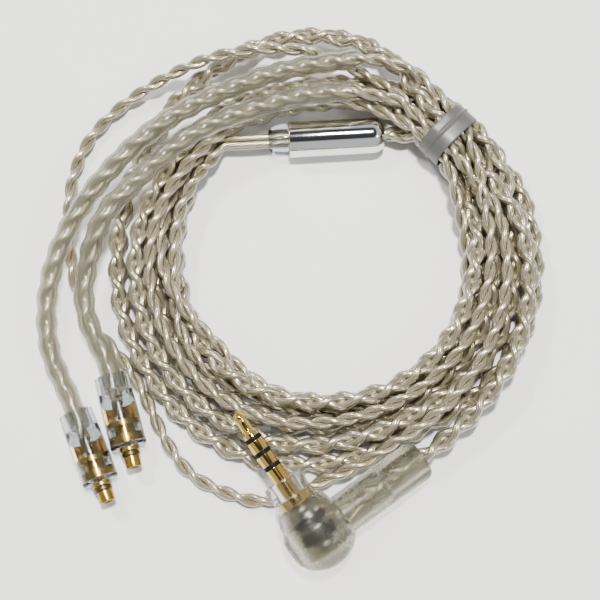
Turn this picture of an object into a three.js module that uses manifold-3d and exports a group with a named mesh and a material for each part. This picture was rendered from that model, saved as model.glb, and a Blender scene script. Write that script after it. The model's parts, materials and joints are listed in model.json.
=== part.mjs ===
// Detachable cable for a pair of in-ear monitors, coiled, tied and lying on its side.
// A four-wire braided main cord runs from a right-angle 2.5 mm plug to a metal splitter. Two
// twisted pairs run on from there, through a chin slider, and end in ear guides and push-fit
// connectors. Millimetres, +Z up. The coil is laid out about its own centre, and the whole cable is
// then moved so that the origin lies under the middle of its hardware, on the floor.
import * as THREE from 'three';
import { mergeVertices } from 'three/addons/utils/BufferGeometryUtils.js';
import Module from 'manifold-3d';

const wasm = await Module();
wasm.setup();

// ---------------------------------------------------------------- driving dimensions

const FIT = 0.05; // gap left between pieces that are glued or pressed together
const SOFT_GAP = 0.3; // gap between soft solids that meet face to face
const CORD_FIT = 0.15; // radial room round a cord in a hole

// Cord
const WIRE_DIAMETER = 0.95; // one jacketed litz wire
const PAIR_RADIUS = WIRE_DIAMETER; // two wires twisted together
const MAIN_RADIUS = 1.5 * WIRE_DIAMETER; // four wires in a round braid
const BUNDLE_RADIUS = WIRE_DIAMETER * (1 + Math.SQRT2) / 2; // four wires packed in a square

// Coil
const COIL_OUTER_RADIUS = 33;
const COIL_INNER_RADIUS = 19.5;
const COIL_HEIGHT = 6.2;
const COIL_EDGE_RADIUS = 2.4;
const COIL_FLOOR_GAP = 0.05;

// Splitter and chin slider, both on one axis
const SPLITTER_CENTRE = [1.3, 19.3];
const SPLITTER_YAW = THREE.MathUtils.degToRad(3.4);
const SPLITTER_LENGTH = 14.5;
const SPLITTER_RADIUS = 2.7;
const SPLITTER_WALL = 0.5;
const SPLITTER_SHOULDER = 2.0; // radius of the rounded end
const SPLITTER_END_WALL = 1.5;
const SPLITTER_CHAMFER = 0.15;
const CORE_RECESS = 0.4;
const SLIDER_LENGTH = 2.95;
const SLIDER_RADIUS = 2.5;
const SLIDER_CLEARANCE = 0.1; // radial, over the wire bundle
const SLIDER_CHAMFER = 0.3;
const SLIDER_TRAVEL = 5.0; // along the straight stretch of the pairs
const SLIDER_REST_GAP = 0.1;
const CHANNEL_CLEARANCE = 0.35; // room in the coil round the hardware that lies in it
const SPLITTER_STUB = 3.0; // main cord between the splitter and the coil

// Twist tie
const TIE_DISTANCE = THREE.MathUtils.degToRad(19.6); // round the coil, from the splitter's end
const TIE_INNER_WIDTH = 8.4; // across the bundle
const TIE_INNER_HEIGHT = 7.2;
const TIE_CORNER_RADIUS = 3.3;
const TIE_WIDTH = 4.0; // along the bundle
const TIE_THICKNESS = 0.3;
const TIE_RIDGE_WIDTH = 0.6; // the wire inside the strip
const TIE_RIDGE_HEIGHT = 0.25;
const TIE_RIDGE_OFFSET = 0.3;
const TIE_TWIST_LENGTH = 9.0; // the twisted ends, under the bundle
const TIE_TWIST_WIDTH = 1.6;
const TIE_TWIST_HEIGHT = 1.0;

// Ear guides
const GUIDE_RADIUS = 1.6;
const GUIDE_BORE_RADIUS = 1.2;

// Connectors, measured along the axis from the shell's rear face
const SHELL_LENGTH = 10.9;
const SHELL_RADIUS = 2.65;
const SHELL_WALL = 0.5;
const SHELL_CHAMFER = 0.55;
const SHELL_SEAT_DEPTH = 2.6; // rear bore that holds the ear guide
const SHELL_LIP_LENGTH = 1.4; // front lip that holds the gold body
const GUIDE_DEPTH = 2.4; // how far the ear guide goes in
const PAIR_DEPTH = 3.2; // how far the cord goes in
const CUP_START = 4.6;
const CUP_LENGTH = 2.7;
const CUP_WALL = 0.35;
const WINDOW_FLOOR = 0.5; // the solder window is cut down to this height over the axis
const WINDOW_END_WALL = 0.5;
const FLANGE_RADIUS = 1.45;
const FLANGE_LENGTH = 0.5;
const GROOVE_RADIUS = 0.95;
const GROOVE_WIDTH = 0.75;
const NOSE_RADIUS = 1.1;
const NOSE_LENGTH = 1.65;
const NOSE_CHAMFER = 0.18;
const SOCKET_RADIUS = 0.75;
const INSULATOR_RECESS = 0.6;
const PIN_RADIUS = 0.22;
const PIN_RECESS = 0.3;
const POT_RADIUS = 0.42;
const POT_LENGTH = 1.0;
const LEAD_RADIUS = 0.2;
const SNAP_RING_RADIUS = 1.28;
const SNAP_RING_GAP = THREE.MathUtils.degToRad(24);

// Plug, measured from the point where the jack's axis meets the barrel's axis
const PLUG_PLACE = [-1.8, -39.6];
const PLUG_YAW = THREE.MathUtils.degToRad(36); // heading of the barrel
const PLUG_RISE = THREE.MathUtils.degToRad(8); // the jack points up over the coil
const PLUG_DIP = THREE.MathUtils.degToRad(6); // the barrel's end dips to the floor
const KNOB_RADIUS = 4.9;
const KNOB_FRONT = 5.0;
const KNOB_BACK = 5.1;
const KNOB_WAIST_RADIUS = 4.1;
const KNOB_COLLAR_RADIUS = 4.0;
const KNOB_CAVITY_RADIUS = 3.3;
const BARREL_RADIUS = 3.0;
const BARREL_END = 18.3;
const BARREL_FILLET = 0.9;
const BARREL_CORD_START = 11.7; // the cord's jacket ends here, inside the barrel
const PLUG_STUB = 2.5; // main cord between the barrel and the coil
const COLLAR_LENGTH = 3.95;
const COLLAR_RADIUS = 2.95;
const COLLAR_WALL = 0.2;
const COLLAR_EDGE = 0.3;
const JACK_RADIUS = 1.25; // a 2.5 mm plug
const JACK_LENGTH = 11.2;
const JACK_FLANGE_LENGTH = 1.2;
const JACK_TAIL_LENGTH = 0.8;
const JACK_TAIL_RADIUS = 1.5;
const JACK_CORE_RADIUS = 0.85;
const TIP_ROD_RADIUS = 0.3;
const TIP_LENGTH = 4.0;
const BAND_LENGTH = 0.6; // each black insulating ring
const RING_LENGTH = 1.7; // each gold ring
const CORE_DISC_RADIUS = 1.7;
const CORE_DISC_LENGTH = 1.4;
const LUG_THICKNESS = 0.4;
const LUG_WIDTH = 1.0;
const LUG_RADIUS = 1.6;
const PLUG_WIRE_RADIUS = 0.35;

const ROUND_SIDES = 20;
const FINE_SIDES = 28;
const CORD_SIDES = 8;
const GUIDE_STEPS = 24;
const LEAD_SIDES = 6;
const COIL_SEGMENTS = 48;

// ---------------------------------------------------------------- routes

// Heights of what lies on the coil
const PAIR_ON_COIL = COIL_HEIGHT + FIT + PAIR_RADIUS;
const GUIDE_ON_COIL = COIL_HEIGHT + SOFT_GAP + GUIDE_RADIUS;

const CONNECTOR_SPREAD = 1.27; // the two shells lie side by side and part towards the rear
const RIGHT_REAR = [-31.7, -17.0];
const LEFT_HEADING = -68;

// The left shell lies against the right one, a little further forward
function leftRear() {
  const heading = THREE.MathUtils.degToRad(LEFT_HEADING);
  const [ahead, aside] = [3.1, 2 * SHELL_RADIUS + CONNECTOR_SPREAD];
  return [
    RIGHT_REAR[0] + ahead * Math.cos(heading) + aside * Math.sin(heading),
    RIGHT_REAR[1] + ahead * Math.sin(heading) - aside * Math.cos(heading),
  ];
}

// Each upper cord from where it leaves the coil to a little before its connector, where that
// connector lies (the centre of its rear face and its heading in degrees), and the length of the
// ear guide
const SIDES = {
  left: {
    rear: leftRear(),
    heading: LEFT_HEADING,
    guideLength: 82,
    route: [
      [12.6, 28.2, PAIR_ON_COIL],
      [9.4, 29.2, PAIR_ON_COIL + 0.15],
      [5.1, 29.6, GUIDE_ON_COIL],
      [-0.5, 29.0, GUIDE_ON_COIL],
      [-6.0, 27.9, GUIDE_ON_COIL],
      [-12.0, 26.0, GUIDE_ON_COIL],
      [-18.0, 23.4, GUIDE_ON_COIL],
      [-23.0, 20.6, GUIDE_ON_COIL],
      [-27.4, 17.2, GUIDE_ON_COIL],
      [-31.8, 13.0, GUIDE_ON_COIL - 0.9],
      [-35.8, 8.4, 5.6],
      [-38.8, 3.2, 4.6],
      [-40.6, -2.2, 3.8],
      [-41.2, -8.0, 3.0],
      [-40.4, -13.6, 2.6],
    ],
  },
  right: {
    rear: RIGHT_REAR,
    heading: -74,
    guideLength: 69,
    route: [
      [10.4, 23.4, PAIR_ON_COIL],
      [7.2, 24.2, PAIR_ON_COIL + 0.15],
      [2.9, 24.4, GUIDE_ON_COIL],
      [-1.2, 24.2, GUIDE_ON_COIL],
      [-5.2, 23.6, GUIDE_ON_COIL],
      [-12.4, 21.3, GUIDE_ON_COIL],
      [-18.8, 18.6, GUIDE_ON_COIL],
      [-24.2, 14.6, GUIDE_ON_COIL],
      [-28.8, 9.9, GUIDE_ON_COIL],
      [-31.8, 6.8, GUIDE_ON_COIL - 0.3],
      [-33.9, 3.0, GUIDE_ON_COIL - 1.3],
      [-35.2, -1.4, 5.0],
      [-35.6, -5.6, 4.3],
      [-34.8, -9.6, 3.9],
    ],
  },
};

// A loose loop of the right upper cord, outside the coil and under both ear guides
const LOOP_ROUTE = [
  [-3.0, 31.4, PAIR_ON_COIL],
  [-10.5, 31.6, PAIR_ON_COIL],
  [-18.2, 30.4, PAIR_ON_COIL - 1],
  [-25.8, 28.0, 3.0],
  [-32.1, 24.1, 1.2],
  [-36.6, 18.6, 1.05],
  [-38.7, 11.5, 1.05],
  [-38.6, 4.6, 1.05],
  [-37.8, -1.6, 1.05],
  [-36.3, -6.2, 1.05],
  [-34.6, -9.2, 1.05],
  [-32.8, -11.4, 1.05],
];

// ---------------------------------------------------------------- materials

const FINISHES = {
  cord: { color: 0xb9b19b, roughness: 0.35, metalness: 0.6 },
  chrome: { color: 0xdfe1e3, roughness: 0.06, metalness: 1.0 },
  core: { color: 0x3b3b3d, roughness: 0.6, metalness: 0.0 },
  clear: { color: 0xe8ecec, roughness: 0.1, metalness: 0.0 },
  sleeve: { color: 0xd9d5c4, roughness: 0.25, metalness: 0.0 },
  milky: { color: 0xcfccbf, roughness: 0.35, metalness: 0.0 },
  gold: { color: 0xd6a444, roughness: 0.2, metalness: 1.0 },
  steel: { color: 0x8d8a80, roughness: 0.3, metalness: 1.0 },
  black: { color: 0x161616, roughness: 0.4, metalness: 0.0 },
  white: { color: 0xe9e9ec, roughness: 0.5, metalness: 0.0 },
  silver: { color: 0xc9c3b2, roughness: 0.3, metalness: 1.0 },
};

function finish(name) {
  return new THREE.MeshStandardMaterial(FINISHES[name]);
}

function named(name, geometry, finishName) {
  const mesh = new THREE.Mesh(geometry, finish(finishName));
  mesh.name = name;
  return mesh;
}

// ---------------------------------------------------------------- geometry helpers

function toSolid(geometry) {
  const bare = geometry.clone();
  bare.deleteAttribute('normal');
  bare.deleteAttribute('uv');
  const merged = mergeVertices(bare, 1e-4);
  const index = merged.index.array;
  const kept = [];
  for (let i = 0; i < index.length; i += 3) {
    const [a, b, c] = [index[i], index[i + 1], index[i + 2]];
    if (a !== b && b !== c && c !== a) kept.push(a, b, c);
  }
  const vertProperties = new Float32Array(merged.attributes.position.array);
  return new wasm.Manifold(new wasm.Mesh({ numProp: 3, vertProperties, triVerts: new Uint32Array(kept) }));
}

function toGeometry(solid) {
  const mesh = solid.getMesh();
  const geometry = new THREE.BufferGeometry();
  geometry.setAttribute('position', new THREE.BufferAttribute(new Float32Array(mesh.vertProperties), 3));
  geometry.setIndex(new THREE.BufferAttribute(new Uint32Array(mesh.triVerts), 1));
  return geometry;
}

function cut(base, ...tools) {
  return toGeometry(tools.reduce((solid, tool) => solid.subtract(toSolid(tool)), toSolid(base)));
}

function join(...pieces) {
  return toGeometry(pieces.map(toSolid).reduce((whole, piece) => whole.add(piece)));
}

// A body of revolution about +Y. The profile lists [axial, radius] and starts and ends on the
// axis, or closes on itself; it is turned so that its surface faces out.
function latheY(profile, segments = ROUND_SIDES) {
  let twiceArea = 0;
  for (let i = 0; i < profile.length; i++) {
    const [y0, r0] = profile[i];
    const [y1, r1] = profile[(i + 1) % profile.length];
    twiceArea += r0 * y1 - r1 * y0;
  }
  const ordered = twiceArea > 0 ? profile : [...profile].reverse();
  return new THREE.LatheGeometry(ordered.map(([axial, radius]) => new THREE.Vector2(radius, axial)), segments);
}

// The same about +X
function latheX(profile, segments = ROUND_SIDES) {
  return latheY(profile, segments).rotateZ(-Math.PI / 2);
}

// A tube with a wall: outer and inner profiles both run from one end to the other
function ringProfile(outer, inner) {
  return [...outer, ...[...inner].reverse(), outer[0]];
}

// Points of a quarter ellipse from angle a to angle b, as [axial, radius]
function arc(axialCentre, radialCentre, axialRadius, radialRadius, a, b, steps) {
  const points = [];
  for (let i = 0; i <= steps; i++) {
    const angle = a + (b - a) * i / steps;
    points.push([axialCentre + axialRadius * Math.sin(angle), radialCentre + radialRadius * Math.cos(angle)]);
  }
  return points;
}

function polygon(radius, sides) {
  const points = [];
  for (let i = 0; i < sides; i++) {
    const angle = 2 * Math.PI * (i + 0.5) / sides;
    points.push(new THREE.Vector2(radius * Math.cos(angle), radius * Math.sin(angle)));
  }
  return points;
}

function roundSection(radius, sides = CORD_SIDES) {
  return new THREE.Shape(polygon(radius, sides));
}

function sleeveSection(radius, boreRadius, sides) {
  const shape = new THREE.Shape(polygon(radius, sides));
  shape.holes.push(new THREE.Path(polygon(boreRadius, sides)));
  return shape;
}

// Two wires side by side: tall along the shape's x, one wire wide along its y
function pairSection() {
  const radius = WIRE_DIAMETER / 2;
  const points = [];
  for (const end of [1, -1]) {
    for (let i = 0; i < 4; i++) {
      const angle = -Math.PI / 2 + Math.PI * i / 3;
      points.push(new THREE.Vector2(end * radius * (1 + Math.cos(angle)), end * radius * Math.sin(angle)));
    }
  }
  return new THREE.Shape(points);
}

function roundedRectangle(width, height, radius) {
  const shape = new THREE.Shape();
  const [x, y] = [width / 2 - radius, height / 2 - radius];
  shape.absarc(x, -y, radius, -Math.PI / 2, 0);
  shape.absarc(x, y, radius, 0, Math.PI / 2);
  shape.absarc(-x, y, radius, Math.PI / 2, Math.PI);
  shape.absarc(-x, -y, radius, Math.PI, 1.5 * Math.PI);
  shape.closePath();
  return shape;
}

// A straight prism along +X between two stations. The shape's x lies along -Z and its y along +Y.
function prismX(shape, from, to, curveSegments = 3) {
  const settings = { depth: to - from, bevelEnabled: false, curveSegments };
  return new THREE.ExtrudeGeometry(shape, settings).rotateY(Math.PI / 2).translate(from, 0, 0);
}

function sweep(section, curve, steps) {
  return new THREE.ExtrudeGeometry(section, { steps, extrudePath: curve, bevelEnabled: false });
}

function curveThrough(points) {
  return new THREE.CatmullRomCurve3(points.map((point) => new THREE.Vector3(...point)), false, 'centripetal');
}

// The part of a curve between two lengths along it
class Stretch extends THREE.Curve {
  constructor(whole, from, to) {
    super();
    this.whole = whole;
    this.from = from;
    this.to = to;
  }

  getPoint(t, target = new THREE.Vector3()) {
    const along = this.from + (this.to - this.from) * t;
    return this.whole.getPointAt(Math.min(along / this.whole.getLength(), 1), target);
  }
}

// ---------------------------------------------------------------- placements

function splitterPlace() {
  const place = new THREE.Group();
  place.position.set(...SPLITTER_CENTRE, SPLITTER_RADIUS);
  place.rotation.z = SPLITTER_YAW;
  place.updateMatrix();
  return place;
}

function connectorPlace(side) {
  const place = new THREE.Group();
  place.position.set(...SIDES[side].rear, SHELL_RADIUS);
  place.rotation.z = THREE.MathUtils.degToRad(SIDES[side].heading);
  place.updateMatrix();
  return place;
}

// The plug stands on its knob, with the jack raised and the barrel's end dipped
function plugPlace() {
  const place = new THREE.Group();
  place.rotation.set(PLUG_RISE, PLUG_DIP, PLUG_YAW, 'ZYX');
  place.updateMatrix();
  const knob = latheY(knobProfile()).applyMatrix4(place.matrix);
  knob.computeBoundingBox();
  place.position.set(...PLUG_PLACE, -knob.boundingBox.min.z);
  place.updateMatrix();
  return place;
}

// The twist tie's group: +X along the bundle, +Y across it towards the coil's centre
function tiePlace() {
  const place = new THREE.Group();
  const radius = (COIL_OUTER_RADIUS + COIL_INNER_RADIUS) / 2 - SOFT_GAP;
  const splitterEnd = new THREE.Vector3(SPLITTER_LENGTH / 2, 0, 0).applyMatrix4(splitterPlace().matrix);
  const angle = Math.atan2(splitterEnd.y, splitterEnd.x) - TIE_DISTANCE;
  place.position.set(radius * Math.cos(angle), radius * Math.sin(angle), 0);
  place.rotation.z = angle + Math.PI / 2;
  place.updateMatrix();
  return place;
}

// ---------------------------------------------------------------- splitter and slider

const SPLITTER_HALF = SPLITTER_LENGTH / 2;
const SPLITTER_CAVITY = SPLITTER_RADIUS - SPLITTER_WALL;
const SLIDER_START = -SPLITTER_HALF - SLIDER_REST_GAP - SLIDER_LENGTH;
const CHANNEL_START = SLIDER_START - SLIDER_TRAVEL - 2 * SOFT_GAP;
const CHANNEL_END = SPLITTER_HALF + SPLITTER_STUB;

function splitterBarrel() {
  const shoulder = arc(SPLITTER_HALF - SPLITTER_SHOULDER, SPLITTER_RADIUS - SPLITTER_SHOULDER,
    SPLITTER_SHOULDER, SPLITTER_SHOULDER, 0, Math.PI / 2, 6);
  const outer = [
    [-SPLITTER_HALF, SPLITTER_RADIUS - SPLITTER_CHAMFER],
    [-SPLITTER_HALF + SPLITTER_CHAMFER, SPLITTER_RADIUS],
    ...shoulder.slice(0, -1),
  ];
  const exitRadius = Math.min(MAIN_RADIUS + CORD_FIT, SPLITTER_CAVITY);
  const inner = [
    [-SPLITTER_HALF, SPLITTER_CAVITY],
    [SPLITTER_HALF - SPLITTER_END_WALL, SPLITTER_CAVITY],
    [SPLITTER_HALF - SPLITTER_END_WALL, exitRadius],
    [SPLITTER_HALF - SPLITTER_SHOULDER * 0.1, exitRadius],
  ];
  return named('splitter_barrel', latheX(ringProfile(outer, inner), FINE_SIDES), 'chrome');
}

function splitterCore() {
  const from = -SPLITTER_HALF + CORE_RECESS;
  const to = SPLITTER_HALF - SPLITTER_END_WALL - FIT;
  const outer = [[from, SPLITTER_CAVITY - FIT], [to, SPLITTER_CAVITY - FIT]];
  const inner = [
    [from, BUNDLE_RADIUS + CORD_FIT],
    [0, BUNDLE_RADIUS + CORD_FIT],
    [0, MAIN_RADIUS + CORD_FIT],
    [to, MAIN_RADIUS + CORD_FIT],
  ];
  return named('splitter_core', latheX(ringProfile(outer, inner)), 'core');
}

function chinSlider() {
  const [from, to] = [SLIDER_START, SLIDER_START + SLIDER_LENGTH];
  const outer = [
    [from, SLIDER_RADIUS - SLIDER_CHAMFER],
    [from + SLIDER_CHAMFER, SLIDER_RADIUS],
    [to - SLIDER_CHAMFER, SLIDER_RADIUS],
    [to, SLIDER_RADIUS - SLIDER_CHAMFER],
  ];
  const bore = BUNDLE_RADIUS + SLIDER_CLEARANCE;
  return named('chin_slider', latheX(ringProfile(outer, [[from, bore], [to, bore]])), 'clear');
}

function mainCordAtSplitter() {
  const geometry = prismX(roundSection(MAIN_RADIUS), CORD_FIT, CHANNEL_END - SOFT_GAP);
  return named('main_cord_at_splitter', geometry, 'cord');
}

function pairCordAtSplitter(side) {
  const offset = (side === 'left' ? 1 : -1) * (WIRE_DIAMETER / 2 + FIT / 2);
  const geometry = prismX(pairSection(), CHANNEL_START + SOFT_GAP, -CORD_FIT).translate(0, offset, 0);
  return named(`${side}_pair_at_splitter`, geometry, 'cord');
}

function splitterGroup() {
  const group = splitterPlace();
  group.add(splitterBarrel(), splitterCore(), chinSlider(), mainCordAtSplitter());
  group.add(pairCordAtSplitter('left'), pairCordAtSplitter('right'));
  return group;
}

// ---------------------------------------------------------------- twist tie

const TIE_AXIS_HEIGHT = TIE_TWIST_HEIGHT + TIE_THICKNESS + TIE_INNER_HEIGHT / 2;

// A flat ring of the strip round the bundle, this thick and this wide along it
function tieRing(thickness, width) {
  const grow = 2 * thickness;
  const shape = roundedRectangle(TIE_INNER_HEIGHT + grow, TIE_INNER_WIDTH + grow, TIE_CORNER_RADIUS + thickness);
  shape.holes.push(roundedRectangle(TIE_INNER_HEIGHT, TIE_INNER_WIDTH, TIE_CORNER_RADIUS));
  return prismX(shape, -width / 2, width / 2).translate(0, 0, TIE_AXIS_HEIGHT);
}

function twistTie() {
  const band = tieRing(TIE_THICKNESS, TIE_WIDTH);
  const ridge = tieRing(TIE_THICKNESS + TIE_RIDGE_HEIGHT, TIE_RIDGE_WIDTH).translate(TIE_RIDGE_OFFSET, 0, 0);
  const height = TIE_TWIST_HEIGHT + TIE_THICKNESS / 2;
  const twist = prismX(roundedRectangle(height, TIE_TWIST_WIDTH, TIE_THICKNESS),
    -TIE_WIDTH / 2, TIE_TWIST_LENGTH - TIE_WIDTH / 2, 2).translate(0, 0, height / 2);
  return named('twist_tie', join(band, ridge, twist), 'white');
}

function tieGroup() {
  const group = tiePlace();
  group.add(twistTie());
  return group;
}

// ---------------------------------------------------------------- ear connectors and guides

const BODY_RADIUS = SHELL_RADIUS - SHELL_WALL - FIT;
const CUP_FLOOR = CUP_START + CUP_LENGTH;
const LIP_START = SHELL_LENGTH - SHELL_LIP_LENGTH;
const GROOVE_START = SHELL_LENGTH + FLANGE_LENGTH;
const NOSE_END = GROOVE_START + GROOVE_WIDTH + NOSE_LENGTH;

function connectorShell(side) {
  const seatRadius = GUIDE_RADIUS + 2 * FIT;
  const outer = [
    [0, SHELL_RADIUS - SHELL_CHAMFER],
    [SHELL_CHAMFER, SHELL_RADIUS],
    [SHELL_LENGTH - SHELL_CHAMFER / 2, SHELL_RADIUS],
    [SHELL_LENGTH, SHELL_RADIUS - SHELL_CHAMFER / 2],
  ];
  const inner = [
    [0, seatRadius],
    [SHELL_SEAT_DEPTH, seatRadius],
    [SHELL_SEAT_DEPTH, SHELL_RADIUS - SHELL_WALL],
    [LIP_START, SHELL_RADIUS - SHELL_WALL],
    [LIP_START, FLANGE_RADIUS + FIT],
    [SHELL_LENGTH, FLANGE_RADIUS + FIT],
  ];
  return named(`${side}_connector_shell`, latheX(ringProfile(outer, inner)), 'clear');
}

function outerContact(side) {
  const grooveEnd = GROOVE_START + GROOVE_WIDTH;
  const outer = [
    [CUP_START, BODY_RADIUS],
    [LIP_START - FIT, BODY_RADIUS],
    [LIP_START - FIT, FLANGE_RADIUS],
    [GROOVE_START, FLANGE_RADIUS],
    [GROOVE_START, GROOVE_RADIUS],
    [grooveEnd, GROOVE_RADIUS],
    [grooveEnd, NOSE_RADIUS],
    [NOSE_END - NOSE_CHAMFER, NOSE_RADIUS],
    [NOSE_END, NOSE_RADIUS - NOSE_CHAMFER],
  ];
  const inner = [
    [CUP_START, BODY_RADIUS - CUP_WALL],
    [CUP_FLOOR, BODY_RADIUS - CUP_WALL],
    [CUP_FLOOR, SOCKET_RADIUS],
    [NOSE_END, SOCKET_RADIUS],
  ];
  const windowLength = CUP_LENGTH - WINDOW_END_WALL + SOFT_GAP;
  const window = new THREE.BoxGeometry(windowLength, 2 * SHELL_RADIUS, SHELL_RADIUS);
  window.translate(CUP_START - SOFT_GAP + windowLength / 2, 0, WINDOW_FLOOR + SHELL_RADIUS / 2);
  return named(`${side}_outer_contact`, cut(latheX(ringProfile(outer, inner)), window), 'gold');
}

function noseInsulator(side) {
  const to = NOSE_END - INSULATOR_RECESS;
  const outer = [[CUP_FLOOR, SOCKET_RADIUS - FIT], [to, SOCKET_RADIUS - FIT]];
  const inner = [[CUP_FLOOR, PIN_RADIUS + FIT], [to, PIN_RADIUS + FIT]];
  return named(`${side}_nose_insulator`, latheX(ringProfile(outer, inner), ROUND_SIDES / 2), 'white');
}

const POT_START = CUP_FLOOR - FIT - POT_LENGTH;

function centrePin(side) {
  const to = NOSE_END - PIN_RECESS;
  const profile = [
    [POT_START, 0],
    [POT_START, POT_RADIUS],
    [CUP_FLOOR - FIT, POT_RADIUS],
    [CUP_FLOOR - FIT, PIN_RADIUS],
    [to - PIN_RADIUS / 2, PIN_RADIUS],
    [to, PIN_RADIUS / 2],
    [to, 0],
  ];
  return named(`${side}_centre_pin`, latheX(profile, ROUND_SIDES / 2), 'gold');
}

function snapRing(side) {
  const [from, to] = [SNAP_RING_GAP / 2, 2 * Math.PI - SNAP_RING_GAP / 2];
  const shape = new THREE.Shape();
  shape.absarc(0, 0, SNAP_RING_RADIUS, from, to, false);
  shape.absarc(0, 0, GROOVE_RADIUS + FIT, to, from, true);
  shape.closePath();
  const room = 2 * FIT;
  const geometry = prismX(shape, GROOVE_START + room, GROOVE_START + GROOVE_WIDTH - room, ROUND_SIDES);
  return named(`${side}_snap_ring`, geometry, 'steel');
}

function signalLead(side) {
  const start = PAIR_DEPTH + FIT;
  const end = POT_START - FIT;
  const route = curveThrough([
    [start, WIRE_DIAMETER / 2, 0],
    [start + 0.3 * (end - start), WIRE_DIAMETER / 2, 0],
    [start + 0.75 * (end - start), 0, 0],
    [end, 0, 0],
  ]);
  return named(`${side}_signal_lead`, sweep(roundSection(LEAD_RADIUS, LEAD_SIDES), route, 10), 'silver');
}

function returnLead(side) {
  const start = PAIR_DEPTH + FIT;
  const cupBottom = BODY_RADIUS - CUP_WALL - LEAD_RADIUS - 2 * FIT;
  const [y, z] = [-0.45 * cupBottom, -0.87 * cupBottom];
  const route = curveThrough([
    [start, -WIRE_DIAMETER / 2, 0],
    [start + 0.4, -WIRE_DIAMETER / 2, 0],
    [CUP_START + 0.2, y, 0.85 * z],
    [CUP_START + 0.8, y, z],
    [CUP_FLOOR - 1, y, z],
  ]);
  return named(`${side}_return_lead`, sweep(roundSection(LEAD_RADIUS, LEAD_SIDES), route, 12), 'silver');
}

function connectorGroup(side) {
  const group = connectorPlace(side);
  group.add(connectorShell(side), outerContact(side), noseInsulator(side), centrePin(side));
  group.add(snapRing(side), signalLead(side), returnLead(side));
  return group;
}

// The upper cord's line from the coil's top to its end inside the shell. The last stretch lies on
// the connector's axis.
function upperCordCurve(side) {
  const place = connectorPlace(side);
  const onAxis = [-2, 0, PAIR_DEPTH].map((along) => new THREE.Vector3(along, 0, 0).applyMatrix4(place.matrix));
  return curveThrough([...SIDES[side].route, ...onAxis.map((point) => point.toArray())]);
}

function earGuide(side) {
  const cord = upperCordCurve(side);
  const to = cord.getLength() - (PAIR_DEPTH - GUIDE_DEPTH);
  const stretch = new Stretch(cord, to - SIDES[side].guideLength, to);
  const section = sleeveSection(GUIDE_RADIUS, GUIDE_BORE_RADIUS, CORD_SIDES);
  return named(`${side}_ear_guide`, sweep(section, stretch, GUIDE_STEPS), 'sleeve');
}

function pairInGuide(side) {
  return named(`${side}_pair_in_guide`, sweep(roundSection(PAIR_RADIUS), upperCordCurve(side), GUIDE_STEPS + 2), 'cord');
}

function looseLoop() {
  return named('right_pair_loop', sweep(roundSection(PAIR_RADIUS), curveThrough(LOOP_ROUTE), GUIDE_STEPS), 'cord');
}

// ---------------------------------------------------------------- plug

const COLLAR_START = KNOB_FRONT + FIT;
const COLLAR_END = COLLAR_START + COLLAR_LENGTH;
const JACK_END = COLLAR_END + JACK_LENGTH;
const FLANGE_START = COLLAR_START + FIT;
const FLANGE_END = FLANGE_START + JACK_FLANGE_LENGTH;
const JACK_FLANGE_RADIUS = COLLAR_RADIUS - COLLAR_WALL - FIT;
const TIP_START = JACK_END - TIP_LENGTH;

function knobProfile() {
  return [
    ...arc(-1, 0, KNOB_BACK - 1, KNOB_RADIUS, -Math.PI / 2, 0, 8).map(([y, r]) => [y, Math.max(r, 0)]),
    [1.4, KNOB_RADIUS - 0.25],
    [2.3, KNOB_WAIST_RADIUS],
    [3.8, KNOB_COLLAR_RADIUS],
    [KNOB_FRONT - 0.2, KNOB_COLLAR_RADIUS - 0.7],
    [KNOB_FRONT, COLLAR_RADIUS],
    [KNOB_FRONT, 0],
  ];
}

function barrelProfile() {
  const rim = BARREL_RADIUS - BARREL_FILLET;
  return [
    [0, 0],
    [0, BARREL_RADIUS],
    ...arc(BARREL_END - BARREL_FILLET, rim, BARREL_FILLET, BARREL_FILLET, 0, Math.PI / 2, 4),
    [BARREL_END, 0],
  ];
}

function plugHousing() {
  const cordBore = [
    [0, 0],
    [0, 2],
    [BARREL_CORD_START - SOFT_GAP, 2],
    [BARREL_CORD_START - SOFT_GAP, MAIN_RADIUS + CORD_FIT],
    [BARREL_END + 1, MAIN_RADIUS + CORD_FIT],
    [BARREL_END + 1, 0],
  ];
  const cavity = [
    [-2.9, 0],
    [-2.9, KNOB_CAVITY_RADIUS],
    [2.6, KNOB_CAVITY_RADIUS],
    [3.0, KNOB_CAVITY_RADIUS - 0.4],
    [4.4, KNOB_CAVITY_RADIUS - 0.4],
    [4.4, JACK_TAIL_RADIUS + 0.5],
    [KNOB_FRONT + 1, JACK_TAIL_RADIUS + 0.5],
    [KNOB_FRONT + 1, 0],
  ];
  const outside = join(latheY(knobProfile()), latheX(barrelProfile()));
  return named('plug_housing', cut(outside, latheX(cordBore), latheY(cavity)), 'milky');
}

function plugCollar() {
  const outer = [
    [COLLAR_START, COLLAR_RADIUS],
    [COLLAR_END - COLLAR_EDGE, COLLAR_RADIUS],
    [COLLAR_END, COLLAR_RADIUS - COLLAR_EDGE],
  ];
  const inner = [
    [COLLAR_START, COLLAR_RADIUS - COLLAR_WALL],
    [FLANGE_END + FIT, COLLAR_RADIUS - COLLAR_WALL],
    [FLANGE_END + FIT, JACK_RADIUS + FIT],
    [COLLAR_END, JACK_RADIUS + FIT],
  ];
  return named('plug_collar', latheY(ringProfile(outer, inner)), 'clear');
}

function plugTip() {
  const neck = 0.8;
  const profile = [
    [-1.9, 0],
    [-1.9, TIP_ROD_RADIUS],
    [TIP_START, TIP_ROD_RADIUS],
    [TIP_START, JACK_RADIUS - 0.03],
    [TIP_START + 0.6, JACK_RADIUS - 0.15],
    [TIP_START + 1.1, neck],
    [JACK_END - 1.5, neck],
    [JACK_END - 0.95, 1.0],
    [JACK_END - 0.55, 0.95],
    [JACK_END, 0.45],
    [JACK_END, 0],
  ];
  return named('plug_tip', latheY(profile), 'gold');
}

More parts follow.
